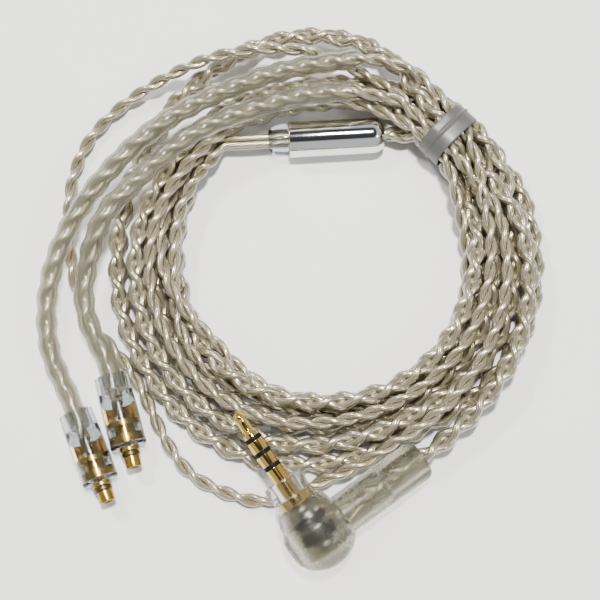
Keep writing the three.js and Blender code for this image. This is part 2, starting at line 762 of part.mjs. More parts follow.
// A short tube on the jack between two stations
function jackBand(name, from, to, finishName) {
  const outer = [[from, JACK_RADIUS], [to, JACK_RADIUS]];
  const inner = [[from, JACK_CORE_RADIUS + FIT], [to, JACK_CORE_RADIUS + FIT]];
  return named(name, latheY(ringProfile(outer, inner)), finishName);
}

function plugSleeve(end) {
  const outer = [
    [FLANGE_START - JACK_TAIL_LENGTH, JACK_TAIL_RADIUS],
    [FLANGE_START, JACK_TAIL_RADIUS],
    [FLANGE_START, JACK_FLANGE_RADIUS],
    [FLANGE_END, JACK_FLANGE_RADIUS],
    [FLANGE_END, JACK_RADIUS],
    [end, JACK_RADIUS],
  ];
  const bore = JACK_CORE_RADIUS + FIT;
  const inner = [[FLANGE_START - JACK_TAIL_LENGTH, bore], [end, bore]];
  return named('plug_sleeve', latheY(ringProfile(outer, inner)), 'gold');
}

// Black rings and gold rings in turn from the tip back, then the sleeve
function jackStack() {
  const pieces = [];
  let front = TIP_START - FIT / 2;
  for (const ring of ['plug_ring_1', 'plug_ring_2', 'plug_sleeve']) {
    const band = front - BAND_LENGTH + FIT / 2;
    pieces.push(jackBand(`plug_insulator_${pieces.length / 2 + 1}`, band, front, 'black'));
    front = band - FIT / 2;
    if (ring === 'plug_sleeve') {
      pieces.push(plugSleeve(front));
    } else {
      pieces.push(jackBand(ring, front - RING_LENGTH + FIT / 2, front, 'gold'));
      front -= RING_LENGTH;
    }
  }
  return pieces;
}

// The four solder lugs: station along the jack's axis, how far the tab reaches, how far it is
// turned about the axis, and the height at which its wire comes out of the barrel
const LUGS = {
  tip: { at: -1.75, reach: 2.6, turn: 0, lane: -1.25 },
  ring_1: { at: 0.6, reach: 2.6, turn: 0, lane: 0.35 },
  ring_2: { at: 2.85, reach: 2.0, turn: 0.35, lane: 1.25 },
  sleeve: { at: 3.8, reach: 1.9, turn: -0.35, lane: 1.25 },
};
const CORE_DISCS = [-0.85, 1.2];

function plugCore() {
  const outer = [];
  for (const disc of CORE_DISCS) {
    outer.push([disc, JACK_CORE_RADIUS], [disc, CORE_DISC_RADIUS]);
    outer.push([disc + CORE_DISC_LENGTH, CORE_DISC_RADIUS], [disc + CORE_DISC_LENGTH, JACK_CORE_RADIUS]);
  }
  outer.push([TIP_START - FIT, JACK_CORE_RADIUS]);
  const bore = TIP_ROD_RADIUS + FIT;
  const profile = ringProfile(outer, [[CORE_DISCS[0], bore], [TIP_START - FIT, bore]]);
  return named('plug_core', latheY(profile), 'core');
}

// A washer round the core with a tab towards the cord
function solderLug(name) {
  const { at, reach, turn } = LUGS[name];
  const hole = (name === 'tip' ? TIP_ROD_RADIUS : JACK_CORE_RADIUS) + FIT;
  const start = Math.asin(LUG_WIDTH / 2 / LUG_RADIUS);
  const shape = new THREE.Shape();
  shape.moveTo(reach, -LUG_WIDTH / 2);
  shape.lineTo(reach, LUG_WIDTH / 2);
  shape.absarc(0, 0, LUG_RADIUS, start, 2 * Math.PI - start, false);
  shape.closePath();
  shape.holes.push(new THREE.Path(polygon(hole, 12)));
  const settings = { depth: LUG_THICKNESS, bevelEnabled: false, curveSegments: 8 };
  const geometry = new THREE.ExtrudeGeometry(shape, settings).rotateX(Math.PI / 2);
  return named(`solder_lug_${name}`, geometry.translate(0, at + LUG_THICKNESS, 0).rotateY(-turn), 'silver');
}

// A wire from the cord's end in the barrel to a lug's tab
function plugWire(name, index) {
  const { at, reach, turn, lane } = LUGS[name];
  const quarter = WIRE_DIAMETER / 2;
  const [y, z] = [index < 2 ? -quarter : quarter, index % 2 ? -quarter : quarter];
  const from = BARREL_CORD_START - FIT;
  const tab = at + LUG_THICKNESS / 2;
  const onTab = (radius, height) => [radius * Math.cos(turn), height, radius * Math.sin(turn)];
  const route = curveThrough([
    [from, y, z],
    [from - 1.5, y, z],
    [KNOB_RADIUS + 0.7, (y + lane) / 2, z],
    [KNOB_CAVITY_RADIUS + 0.3, lane, z],
    onTab(reach + 0.6, (lane + tab) / 2),
    onTab(reach + 0.45, tab),
    onTab(reach + FIT, tab),
  ]);
  return named(`plug_wire_${name}`, sweep(roundSection(PLUG_WIRE_RADIUS, LEAD_SIDES), route, 18), 'cord');
}

function mainCordAtPlug() {
  const geometry = prismX(roundSection(MAIN_RADIUS), BARREL_CORD_START, BARREL_END + PLUG_STUB - SOFT_GAP);
  return named('main_cord_at_plug', geometry, 'cord');
}

function plugGroup() {
  const group = plugPlace();
  group.add(plugHousing(), plugCollar(), plugTip(), ...jackStack(), plugCore(), mainCordAtPlug());
  Object.keys(LUGS).forEach((name, index) => group.add(solderLug(name), plugWire(name, index)));
  return group;
}

// ---------------------------------------------------------------- coil

function coilRing() {
  const half = COIL_HEIGHT - COIL_FLOOR_GAP;
  const section = roundedRectangle(COIL_OUTER_RADIUS - COIL_INNER_RADIUS, half, COIL_EDGE_RADIUS);
  const middle = (COIL_OUTER_RADIUS + COIL_INNER_RADIUS) / 2;
  const profile = section.getPoints(2).map((point) => [
    point.y + COIL_FLOOR_GAP + half / 2,
    point.x + middle,
  ]);
  const open = profile.slice(0, -1);
  return latheY([...open, open[0]], COIL_SEGMENTS).rotateX(Math.PI / 2);
}

// A box along +X between two stations, this far to each side of the axis, through the coil
function slot(from, to, reach) {
  const height = 4 * COIL_HEIGHT;
  return new THREE.BoxGeometry(to - from, 2 * reach, height).translate((from + to) / 2, 0, 0);
}

// All of the coil's section near the tie that the strip does not leave room for
function tieRoom() {
  const width = TIE_WIDTH + 2 * TIE_THICKNESS + 2 * SOFT_GAP;
  const bundle = prismX(roundedRectangle(TIE_INNER_HEIGHT - 2 * SOFT_GAP, TIE_INNER_WIDTH - 2 * SOFT_GAP,
    TIE_CORNER_RADIUS - SOFT_GAP), -width, width).translate(0, 0, TIE_AXIS_HEIGHT);
  return cut(slot(-width / 2, width / 2, COIL_OUTER_RADIUS - COIL_INNER_RADIUS), bundle);
}

function twistRoom() {
  const length = TIE_TWIST_LENGTH + 2 * SOFT_GAP;
  const geometry = new THREE.BoxGeometry(length, TIE_TWIST_WIDTH + 2 * SOFT_GAP, 2 * TIE_TWIST_HEIGHT + 4 * SOFT_GAP);
  return geometry.translate(length / 2 - TIE_WIDTH / 2 - SOFT_GAP, 0, 0);
}

// The plug's outline with room round it, from the jack to the cord that leaves the barrel
function plugRoom() {
  const room = CHANNEL_CLEARANCE;
  const jack = latheY([
    [0, 0],
    [0, COLLAR_RADIUS + room],
    [COLLAR_END + room, COLLAR_RADIUS + room],
    [COLLAR_END + room, JACK_RADIUS + room],
    [JACK_END + room, JACK_RADIUS + room],
    [JACK_END + room, 0],
  ]);
  const barrel = latheX([
    [0, 0],
    [0, BARREL_RADIUS + room],
    [BARREL_END + room, BARREL_RADIUS + room],
    [BARREL_END + room, MAIN_RADIUS + room],
    [BARREL_END + PLUG_STUB, MAIN_RADIUS + room],
    [BARREL_END + PLUG_STUB, 0],
  ]);
  return join(jack, barrel, latheY(knobProfile()).scale(1.08, 1.08, 1.08));
}

function cableCoil() {
  const channelReach = Math.max(SPLITTER_RADIUS, SLIDER_RADIUS) + CHANNEL_CLEARANCE;
  const geometry = cut(
    coilRing(),
    slot(CHANNEL_START, CHANNEL_END, channelReach).applyMatrix4(splitterPlace().matrix),
    tieRoom().applyMatrix4(tiePlace().matrix),
    twistRoom().applyMatrix4(tiePlace().matrix),
    plugRoom().applyMatrix4(plugPlace().matrix),
  );
  return named('cable_coil', geometry, 'cord');
}

// ---------------------------------------------------------------- the whole cable

const CORD_NAMES = /coil|pair|main_cord/;

// The origin goes under the middle of the hardware, on the floor
function centreOnHardware(whole) {
  whole.updateMatrixWorld(true);
  const box = new THREE.Box3();
  whole.traverse((object) => {
    if (object.isMesh && !CORD_NAMES.test(object.name)) box.expandByObject(object, true);
  });
  const centre = box.getCenter(new THREE.Vector3());
  whole.position.set(-centre.x, -centre.y, -box.min.z);
}

function earCable() {
  const whole = new THREE.Group();
  whole.add(cableCoil(), looseLoop(), splitterGroup(), tieGroup(), plugGroup());
  for (const side of Object.keys(SIDES)) {
    whole.add(connectorGroup(side), earGuide(side), pairInGuide(side));
  }
  centreOnHardware(whole);
  return whole;
}

export default earCable();
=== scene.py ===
"""Detachable cable for a pair of in-ear monitors, coiled, tied and lying on a pale floor.

Sizes are in millimetres in every class; meshes are written in metres, in the row frame. A cord is a
bundle of jacketed stranded wires: four braided round in the main cord, two twisted in each upper one.
"""
import json
import logging
import math
from dataclasses import dataclass, field
from enum import Enum

import bpy
import numpy as np
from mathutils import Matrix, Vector


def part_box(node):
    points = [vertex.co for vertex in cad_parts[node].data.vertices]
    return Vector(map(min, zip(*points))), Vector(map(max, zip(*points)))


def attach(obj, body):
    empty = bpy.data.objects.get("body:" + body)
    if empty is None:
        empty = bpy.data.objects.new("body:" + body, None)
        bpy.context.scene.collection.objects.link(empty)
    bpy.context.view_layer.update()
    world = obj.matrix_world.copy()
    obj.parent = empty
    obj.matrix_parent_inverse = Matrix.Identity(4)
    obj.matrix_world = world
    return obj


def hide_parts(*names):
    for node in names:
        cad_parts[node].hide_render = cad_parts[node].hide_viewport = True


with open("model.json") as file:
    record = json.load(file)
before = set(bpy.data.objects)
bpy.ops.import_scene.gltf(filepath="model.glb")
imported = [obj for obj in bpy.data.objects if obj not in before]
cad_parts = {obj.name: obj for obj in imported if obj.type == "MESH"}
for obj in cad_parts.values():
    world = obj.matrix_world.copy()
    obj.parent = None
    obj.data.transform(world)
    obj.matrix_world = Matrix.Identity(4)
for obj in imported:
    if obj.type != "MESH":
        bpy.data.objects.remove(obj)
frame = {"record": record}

Array = np.ndarray
Pair = tuple[float, float]
Triple = tuple[float, float, float]
Piece = bpy.types.Object
Material = bpy.types.Material
Node = bpy.types.Node
NodeTree = bpy.types.NodeTree
Socket = bpy.types.NodeSocket
MM = 0.001
LOG = logging.getLogger("cable")
CABLE = "cable"
SLIDER = "slider"


# -------------------- curves and places


def unit(vectors: Array) -> Array:
    """Vectors scaled to length one along the last axis."""
    return vectors / np.linalg.norm(vectors, axis=-1, keepdims=True)


def lengths_along(points: Array) -> Array:
    """Distance along a polyline at each of its points."""
    return np.concatenate([[0.0], np.cumsum(np.linalg.norm(np.diff(points, axis=0), axis=1))])


def resample(points: Array, spacing: float) -> Array:
    """The same polyline with points this far apart, as near as whole steps allow.

    Args:
        points: the polyline.
        spacing: the wanted distance between points.

    Returns:
        The points, with both ends kept.
    """
    along = lengths_along(points)
    count = max(3, int(round(along[-1] / spacing)) + 1)
    targets = np.linspace(0.0, along[-1], count)
    return np.stack([np.interp(targets, along, points[:, axis]) for axis in range(3)], axis=1)


def smooth_curve(points: Array, spacing: float, inner: int = 16) -> Array:
    """A smooth curve through points.

    Between two points it is the cubic whose end slopes come from the neighbours, each weighted by
    the square root of its distance, so uneven spacing makes no loops.

    Args:
        points: the points it passes through, shape (n, 3).
        spacing: distance between the samples that come back.
        inner: samples taken inside each stretch before the even spacing.

    Returns:
        Points on the curve, shape (m, 3).
    """
    before = 2 * points[:1] - points[1:2]
    after = 2 * points[-1:] - points[-2:-1]
    full = np.concatenate([before, points, after])
    p0, p1, p2, p3 = full[:-3], full[1:-2], full[2:-1], full[3:]
    d0, d1, d2 = (
        np.sqrt(np.linalg.norm(b - a, axis=1, keepdims=True)) for a, b in ((p0, p1), (p1, p2), (p2, p3))
    )
    m1 = ((p1 - p0) / d0 - (p2 - p0) / (d0 + d1) + (p2 - p1) / d1) * d1
    m2 = ((p2 - p1) / d1 - (p3 - p1) / (d1 + d2) + (p3 - p2) / d2) * d1
    t = np.linspace(0.0, 1.0, inner, endpoint=False)[None, :, None]
    cubic = (
        (2 * t**3 - 3 * t**2 + 1) * p1[:, None]
        + (t**3 - 2 * t**2 + t) * m1[:, None]
        + (3 * t**2 - 2 * t**3) * p2[:, None]
        + (t**3 - t**2) * m2[:, None]
    )
    return resample(np.concatenate([cubic.reshape(-1, 3), points[-1:]]), spacing)


def level_frames(path: Array) -> tuple[Array, Array, Array]:
    """Tangent, level sideways and upward directions at each point of a path that is never vertical.

    Args:
        path: its points, shape (n, 3).

    Returns:
        Three arrays of unit vectors, one row to a point.
    """
    tangent = unit(np.gradient(path, axis=0))
    side = unit(np.cross(np.array([0.0, 0.0, 1.0]), tangent))
    return tangent, side, np.cross(tangent, side)


def step_between(values: Array, low: float, high: float) -> Array:
    """0 below low, 1 above high and a smooth S between them."""
    t = np.clip((values - low) / (high - low), 0.0, 1.0)
    return t * t * (3.0 - 2.0 * t)


def full_circle(count: int) -> Array:
    """Angles in radians, evenly round a full turn, the first at 0."""
    return np.linspace(0.0, 2 * math.pi, count, endpoint=False)


def turn(axis: str, angle: float) -> Array:
    """Rotation matrix about x, y or z by an angle in radians.

    Args:
        axis: x, y or z.
        angle: the angle in radians.

    Returns:
        A 3 by 3 matrix.
    """
    c, s = math.cos(angle), math.sin(angle)
    table = {
        "x": [[1, 0, 0], [0, c, -s], [0, s, c]],
        "y": [[c, 0, s], [0, 1, 0], [-s, 0, c]],
        "z": [[c, -s, 0], [s, c, 0], [0, 0, 1]],
    }
    return np.array(table[axis], dtype=float)


@dataclass
class Place:
    """Where a group of pieces lies: its origin in millimetres and its axes as matrix columns."""

    origin: Array
    axes: Array

    def put(self, points: Array) -> Array:
        """Points of the group in the row frame, in millimetres."""
        return points @ self.axes.T + self.origin

    def along_y(self) -> "Place":
        """The same place with its +X turned onto this one's +Y, for bodies of revolution about +Y."""
        x, y, z = self.axes.T
        return Place(self.origin, np.stack([y, -x, z], axis=1))


def on_axis(steps: tuple[float, ...], offset: float = 0.0) -> Array:
    """Points at these distances along X, shifted to the +Y side by an offset."""
    return np.array([[step, offset, 0.0] for step in steps])


# -------------------- surfaces


@dataclass
class Patch:
    """A grid of points, rows by columns, that is one closed surface or becomes one with end caps.

    Columns always close on themselves. Rows close too where ring is set, and otherwise the first
    and last rows are capped. The map's first coordinate runs once round the columns and its second
    is the distance along the rows in millimetres.
    """

    points: Array
    ring: bool = False
    along: Array | None = None

    def row_distance(self) -> Array:
        """Distance in millimetres at each row, with one more entry where the rows close.

        Returns:
            The distances from the first row.
        """
        if self.along is not None:
            return self.along
        middle = self.points.mean(axis=1)
        spread = self.points[:, 0]
        track = spread if np.ptp(middle, axis=0).max() < 1e-6 else middle
        if self.ring:
            track = np.concatenate([track, track[:1]])
        return lengths_along(track)

    def faces(self) -> tuple[Array, Array, list[Array]]:
        """Quads as vertex numbers with their map coordinates, and the caps as vertex rings.

        Returns:
            Quads, their map coordinates, and the two caps where the rows don't close.
        """
        rows, columns = self.points.shape[:2]
        last = rows if self.ring else rows - 1
        i, j = np.meshgrid(np.arange(last), np.arange(columns), indexing="ij")
        i2, j2 = (i + 1) % rows, (j + 1) % columns
        quads = np.stack([i * columns + j, i * columns + j2, i2 * columns + j2, i2 * columns + j], axis=-1)
        u0, u1 = j / columns, (j + 1) / columns
        distance = self.row_distance()
        v0, v1 = distance[i], distance[np.minimum(i + 1, len(distance) - 1)]
        chart = np.stack(
            [np.stack(pair, axis=-1) for pair in ((u0, v0), (u1, v0), (u1, v1), (u0, v1))], axis=-2,
        )
        caps = [] if self.ring else [np.arange(columns)[::-1], np.arange(columns) + (rows - 1) * columns]
        if self.signed_volume(quads) < 0:
            quads, chart = quads[..., ::-1], chart[..., ::-1, :]
            caps = [cap[::-1] for cap in caps]
        return quads.reshape(-1, 4), chart.reshape(-1, 4, 2), caps

    def signed_volume(self, quads: Array) -> float:
        """Sum of the faces' pyramids to the middle: negative where the faces point in.

        Args:
            quads: vertex numbers, four to a face.

        Returns:
            Six times the volume, near enough for its sign.
        """
        flat = self.points.reshape(-1, 3)
        a, b, c, d = (flat[quads[..., k]] - flat.mean(axis=0) for k in range(4))
        parts = np.einsum("...i,...i", a, np.cross(b, c)) + np.einsum("...i,...i", a, np.cross(c, d))
        return float(parts.sum())


def revolve(profile: Array, place: Place, ring: bool = False, sides: int = 64) -> Patch:
    """A body of revolution: each profile point (axial, radius) turns round the place's +X.

    Args:
        profile: points (axial, radius); closed where ring is set, else capped flat at both ends.
        place: where the axis lies.
        ring: True for a tube's section, which closes on itself.
        sides: points round the axis.

    Returns:
        The surface as a patch.
    """
    angle = full_circle(sides)
    axial, radius = profile[:, :1], profile[:, 1:]
    local = np.stack([axial + 0 * angle, radius * np.cos(angle), radius * np.sin(angle)], axis=-1)
    return Patch(place.put(local), ring)


def revolve_part(profile: Array, place: Place, start: float, stop: float, steps: int = 48) -> Patch:
    """A closed profile (axial, radius) turned round the place's +X between two angles in radians.

    Args:
        profile: a closed profile (axial, radius).
        place: where the axis lies.
        start: the first angle.
        stop: the last angle.
        steps: points round the axis.

    Returns:
        The surface as a patch.
    """
    angle = np.linspace(start, stop, steps)[:, None]
    axial, radius = profile[None, :, 0], profile[None, :, 1]
    local = np.stack([axial + 0 * angle, radius * np.cos(angle), radius * np.sin(angle)], axis=-1)
    return Patch(place.put(local))


def wire_along(path: Array, radius: float | Array, sides: int = 10) -> Patch:
    """A round wire: at each point of the path, a circle square to it.

    Args:
        path: the wire's middle line.
        radius: one radius, or one for each point.
        sides: points in a circle.

    Returns:
        The surface as a patch.
    """
    _, side, up = level_frames(path)
    angle = full_circle(sides)
    size = np.broadcast_to(np.asarray(radius, dtype=float), (len(path),))[:, None, None]
    ring = side[:, None] * np.cos(angle)[None, :, None] + up[:, None] * np.sin(angle)[None, :, None]
    return Patch(path[:, None] + size * ring, along=lengths_along(path))


def rounded(corners: list[Triple], closed: bool = False, steps: int = 6) -> Array:
    """A profile with rounded corners.

    Each corner (axial, radius, rounding) becomes a parabola that starts and ends at the rounding's
    distance from the corner along its two sides.

    Args:
        corners: the corners in order.
        closed: True where the last corner joins the first.
        steps: points on each rounding.

    Returns:
        The profile's points, shape (n, 2).
    """
    table = np.array(corners, dtype=float)
    corner, size = table[:, :2], table[:, 2:]
    back, ahead = np.roll(corner, 1, axis=0) - corner, np.roll(corner, -1, axis=0) - corner
    reach_back = np.linalg.norm(back, axis=1, keepdims=True)
    reach_ahead = np.linalg.norm(ahead, axis=1, keepdims=True)
    size = np.minimum(size, 0.499 * np.minimum(reach_back, reach_ahead))
    if not closed:
        size[[0, -1]] = 0.0
    start = corner + back / np.maximum(reach_back, 1e-9) * size
    stop = corner + ahead / np.maximum(reach_ahead, 1e-9) * size
    t = np.linspace(0.0, 1.0, steps)[None, :, None]
    curve = (1 - t) ** 2 * start[:, None] + 2 * t * (1 - t) * corner[:, None] + t**2 * stop[:, None]
    flat = curve.reshape(-1, 2)
    kept = np.ones(len(flat), dtype=bool)
    kept[1:] = np.linalg.norm(np.diff(flat, axis=0), axis=1) > 1e-5
    return flat[kept]


def dome(centre: float, radius: float, reach: float, from_angle: float, steps: int = 20) -> Array:
    """Quarter ellipse (axial, radius) that closes towards -X, from near the axis up to the full radius."""
    angle = np.linspace(from_angle, math.pi / 2, steps)
    return np.stack([centre - reach * np.cos(angle), radius * np.sin(angle)], axis=1)


def make_piece(
    name: str, patches: list[Patch], material: Material, sharp: float = 35.0,
) -> Piece:
    """One object from closed patches, in metres, smooth but for edges sharper than an angle.

    Args:
        name: the object's name.
        patches: its closed surfaces.
        material: its material.
        sharp: the angle in degrees past which an edge stays sharp.

    Returns:
        The new object, linked to the scene, at the origin.
    """
    points, loops, sizes, charts, offset = [], [], [], [], 0
    for patch in patches:
        quads, chart, caps = patch.faces()
        points.append(patch.points.reshape(-1, 3))
        loops.append((quads + offset).ravel())
        sizes.append(np.full(len(quads), 4))
        charts.append(chart.reshape(-1, 2))
        for cap in caps:
            loops.append(cap + offset)
            sizes.append(np.array([len(cap)]))
            charts.append(np.zeros((len(cap), 2)))
        offset += len(points[-1])
    vertices, corners = np.concatenate(points) * MM, np.concatenate(loops)
    counts, chart = np.concatenate(sizes), np.concatenate(charts)
    mesh = bpy.data.meshes.new(name)
    mesh.vertices.add(len(vertices))
    mesh.vertices.foreach_set("co", vertices.ravel())
    mesh.loops.add(len(corners))
    mesh.loops.foreach_set("vertex_index", corners.astype(np.int32))
    mesh.polygons.add(len(counts))
    mesh.polygons.foreach_set("loop_start", np.concatenate([[0], np.cumsum(counts)[:-1]]).astype(np.int32))
    layer = mesh.uv_layers.new(name="Run")
    layer.data.foreach_set("uv", chart.astype(np.float32).ravel())
    mesh.update(calc_edges=True)
    mesh.validate()
    mesh.shade_smooth()
    mesh.set_sharp_from_angle(angle=math.radians(sharp))
    mesh.materials.append(material)
    piece = bpy.data.objects.new(name, mesh)
    bpy.context.scene.collection.objects.link(piece)
    return piece


def place_piece(piece: Piece, slot: str, *nodes: str, body: str = CABLE) -> Piece:
    """The piece rides on a body and stands for CAD nodes, which it hides.

    Args:
        piece: the piece.
        slot: the record's material slot; not used.
        nodes: the solids it stands for.
        body: the body it rides on.

    Returns:
        The same piece.
    """
    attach(piece, body)
    if nodes:
        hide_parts(*nodes)
    LOG.info("%s: %d faces", piece.name, len(piece.data.polygons))
    return piece


def turned_piece(
    name: str, corners: list[Triple], place: Place, material: Material, slot: str, *nodes: str,
    ring: bool = True, sides: int = 64, steps: int = 6, body: str = CABLE,
) -> Piece:
    """A piece turned as on a lathe: its rounded profile goes round the place's +X.

    Args:
        name: the piece's name.
        corners: the profile's corners as (axial, radius, rounding).
        place: where the axis lies.
        material: its material.
        slot: the record's material slot.
        nodes: the solids it stands for.
        ring: True for a tube's section, which closes on itself.
        sides: points round the axis.
        steps: points on each rounding.
        body: the body it rides on.

    Returns:
        The new object.
    """
    profile = rounded(corners, ring, steps)
    piece = make_piece(name, [revolve(profile, place, ring, sides)], material)
    return place_piece(piece, slot, *nodes, body=body)


def combine(base: Piece, tools: list[tuple[str, Piece]]) -> Piece:
    """The base joined with or cut by each tool, as one exact solid; the tools are removed.

    Args:
        base: the first solid.
        tools: each operation with its solid.

    Returns:
        The base, changed.
    """
    for operation, tool in tools:
        step = base.modifiers.new("join", "BOOLEAN")
        step.operation, step.solver, step.object = operation, "EXACT", tool
    bpy.context.view_layer.update()
    shape = base.evaluated_get(bpy.context.evaluated_depsgraph_get())
    mesh = bpy.data.meshes.new_from_object(shape)
    base.modifiers.clear()
    base.data = mesh
    mesh.set_sharp_from_angle(angle=math.radians(35))
    for _, tool in tools:
        bpy.data.objects.remove(tool)
    return base


# -------------------- finishes


class Coordinates(Enum):
    """What a finish's pattern follows."""

    OBJECT = "Object"
    RUN = "UV"


class Web:
    """Adds nodes to one node tree and links them."""

    def __init__(self, tree: NodeTree) -> None:
        """Takes the tree and empties it."""
        self.tree = tree
        tree.nodes.clear()

    def add(self, kind: str, **settings: object) -> Node:
        """A node of this kind with these properties set.

        Args:
            kind: the node's type.
            settings: its properties.

        Returns:
            The node.
        """
        node = self.tree.nodes.new(kind)
        for key, value in settings.items():
            setattr(node, key, value)
        return node

    def feed(self, socket: Socket, value: object) -> None:
        """Links a socket or sets a plain value on an input.

        Args:
            socket: the input.
            value: an output to link, or a plain value.
        """
        if isinstance(value, Socket):
            self.tree.links.new(value, socket)
        else:
            socket.default_value = value

    def fix(self, node: Node, values: dict[str, object]) -> None:
        """Sets plain values on a node's own inputs, by name."""
        for name, value in values.items():
            node.inputs[name].default_value = value

    def dent(self, strength: float, depth: float, height: object) -> Socket:
        """The normal of a surface with this relief, its depth in metres.

        Args:
            strength: weight of the relief.
            depth: its depth.
            height: its pattern from 0 to 1.

        Returns:
            The normal.
        """
        node = self.add("ShaderNodeBump")
        self.fix(node, {"Strength": strength, "Distance": depth})
        self.feed(node.inputs["Height"], height)
        return node.outputs["Normal"]

    def math(self, operation: str, *values: object) -> Socket:
        """The result of a Math node on these values.

        Args:
            operation: the node's operation.
            values: its inputs in order.

        Returns:
            The result.
        """
        node = self.add("ShaderNodeMath", operation=operation)
        for socket, value in zip(node.inputs, values):
            self.feed(socket, value)
        return node.outputs[0]

    def between(self, low: object, high: object, share: object) -> Socket:
        """A plain blend from low to high.

        Args:
            low: the value at share 0.
            high: the value at share 1.
            share: the mask.

        Returns:
            The result.
        """
        node = self.add("ShaderNodeMapRange")
        for name, value in (("Value", share), ("To Min", low), ("To Max", high)):
            self.feed(node.inputs[name], value)
        return node.outputs["Result"]

    def colour(self, first: object, second: object, share: object) -> Socket:
        """A blend of two colours.

        Args:
            first: the colour at share 0.
            second: the colour at share 1.
            share: the mask.

        Returns:
            The colour.
        """
        node = self.add("ShaderNodeMix", data_type="RGBA")
        self.feed(node.inputs["Factor"], share)
        self.feed(node.inputs[6], first)
        self.feed(node.inputs[7], second)
        return node.outputs[2]

    def noise(self, vector: Socket, scale: object, detail: float) -> Socket:
        """Smooth noise from 0 to 1.

        Args:
            vector: the coordinates.
            scale: how fine it is.
            detail: octaves of finer noise.

        Returns:
            The noise.
        """
        node = self.add("ShaderNodeTexNoise")
        self.feed(node.inputs["Vector"], vector)
        self.feed(node.inputs["Scale"], scale)
        self.feed(node.inputs["Detail"], detail)
        return node.outputs["Fac"]


class Effects:
    """The shader groups that several finishes share, each built once."""

    def __init__(self) -> None:
        """Builds the groups."""
        self.strands = self.build_strands()
        self.scuffs = self.build_scuffs()

    @staticmethod
    def group(
        name: str, inputs: dict[str, tuple[str, float]], outputs: list[str],
    ) -> tuple[Web, Node, Node]:
        """An empty group with these sockets, its input node and its output node.

        Args:
            name: the group's name.
            inputs: each input's type and first value.
            outputs: the outputs' names.

        Returns:
            The group's web, its input node and its output node.
        """
        tree = bpy.data.node_groups.new(name, "ShaderNodeTree")
        for socket, (kind, value) in inputs.items():
            made = tree.interface.new_socket(socket, in_out="INPUT", socket_type=kind)
            if kind == "NodeSocketFloat":
                made.default_value = value
        for socket in outputs:
            tree.interface.new_socket(socket, in_out="OUTPUT", socket_type="NodeSocketFloat")
        web = Web(tree)
        return web, web.add("NodeGroupInput"), web.add("NodeGroupOutput")

    def build_strands(self) -> NodeTree:
        """Fine wires laid round a core: ridges that run slowly round the wire as they go along it.

        The ridge height is the size of a sine of (turns round x strands + distance x lay). The
        shade follows it: painted shade, darker in the grooves between strands, with a slow drift in
        tone from strand to strand.

        Returns:
            The group.
        """
        inputs = {
            "Vector": ("NodeSocketVector", 0.0), "Strands": ("NodeSocketFloat", 9.0),
            "Lay": ("NodeSocketFloat", 0.7)
        }
        web, given, result = self.group("stranded_wire", inputs, ["Height", "Shade"])
        parts = web.add("ShaderNodeSeparateXYZ")
        web.feed(parts.inputs[0], given.outputs["Vector"])
        around = web.math("MULTIPLY", parts.outputs[0], given.outputs["Strands"])
        phase = web.math("ADD", around, web.math("MULTIPLY", parts.outputs[1], given.outputs["Lay"]))
        wave = web.math("SINE", web.math("MULTIPLY", phase, math.pi))
        ridge = web.math("ABSOLUTE", wave)
        strand = web.math("FLOOR", phase)
        spot = web.add("ShaderNodeCombineXYZ")
        web.feed(spot.inputs[0], strand)
        web.feed(spot.inputs[1], web.math("MULTIPLY", parts.outputs[1], 0.35))
        drift = web.noise(spot.outputs[0], 1.0, 1.0)
        web.feed(result.inputs["Height"], ridge)
        # Shade: the ridge to the power 0.6 is painted shade in the grooves between strands; the drift is the
        # strands' own tone.
        web.feed(
            result.inputs["Shade"],
            web.math("MULTIPLY", web.math("POWER", ridge, 0.6), web.between(0.55, 1.35, drift)),
        )
        return web.tree

    def build_scuffs(self) -> NodeTree:
        """Handling marks: fine cloudy dulling and shallow pits, from two sizes of noise.

        Returns:
            The group.
        """
        inputs = {"Vector": ("NodeSocketVector", 0.0), "Size": ("NodeSocketFloat", 900.0)}
        web, given, result = self.group("handling_marks", inputs, ["Dulling", "Height"])
        broad = web.noise(given.outputs["Vector"], web.math("MULTIPLY", given.outputs["Size"], 0.35), 3.0)
        fine = web.noise(given.outputs["Vector"], web.math("MULTIPLY", given.outputs["Size"], 2.5), 4.0)
        web.feed(result.inputs["Dulling"], web.math("MULTIPLY", broad, web.between(0.6, 1.4, fine)))
        web.feed(result.inputs["Height"], fine)
        return web.tree


EFFECTS = Effects()


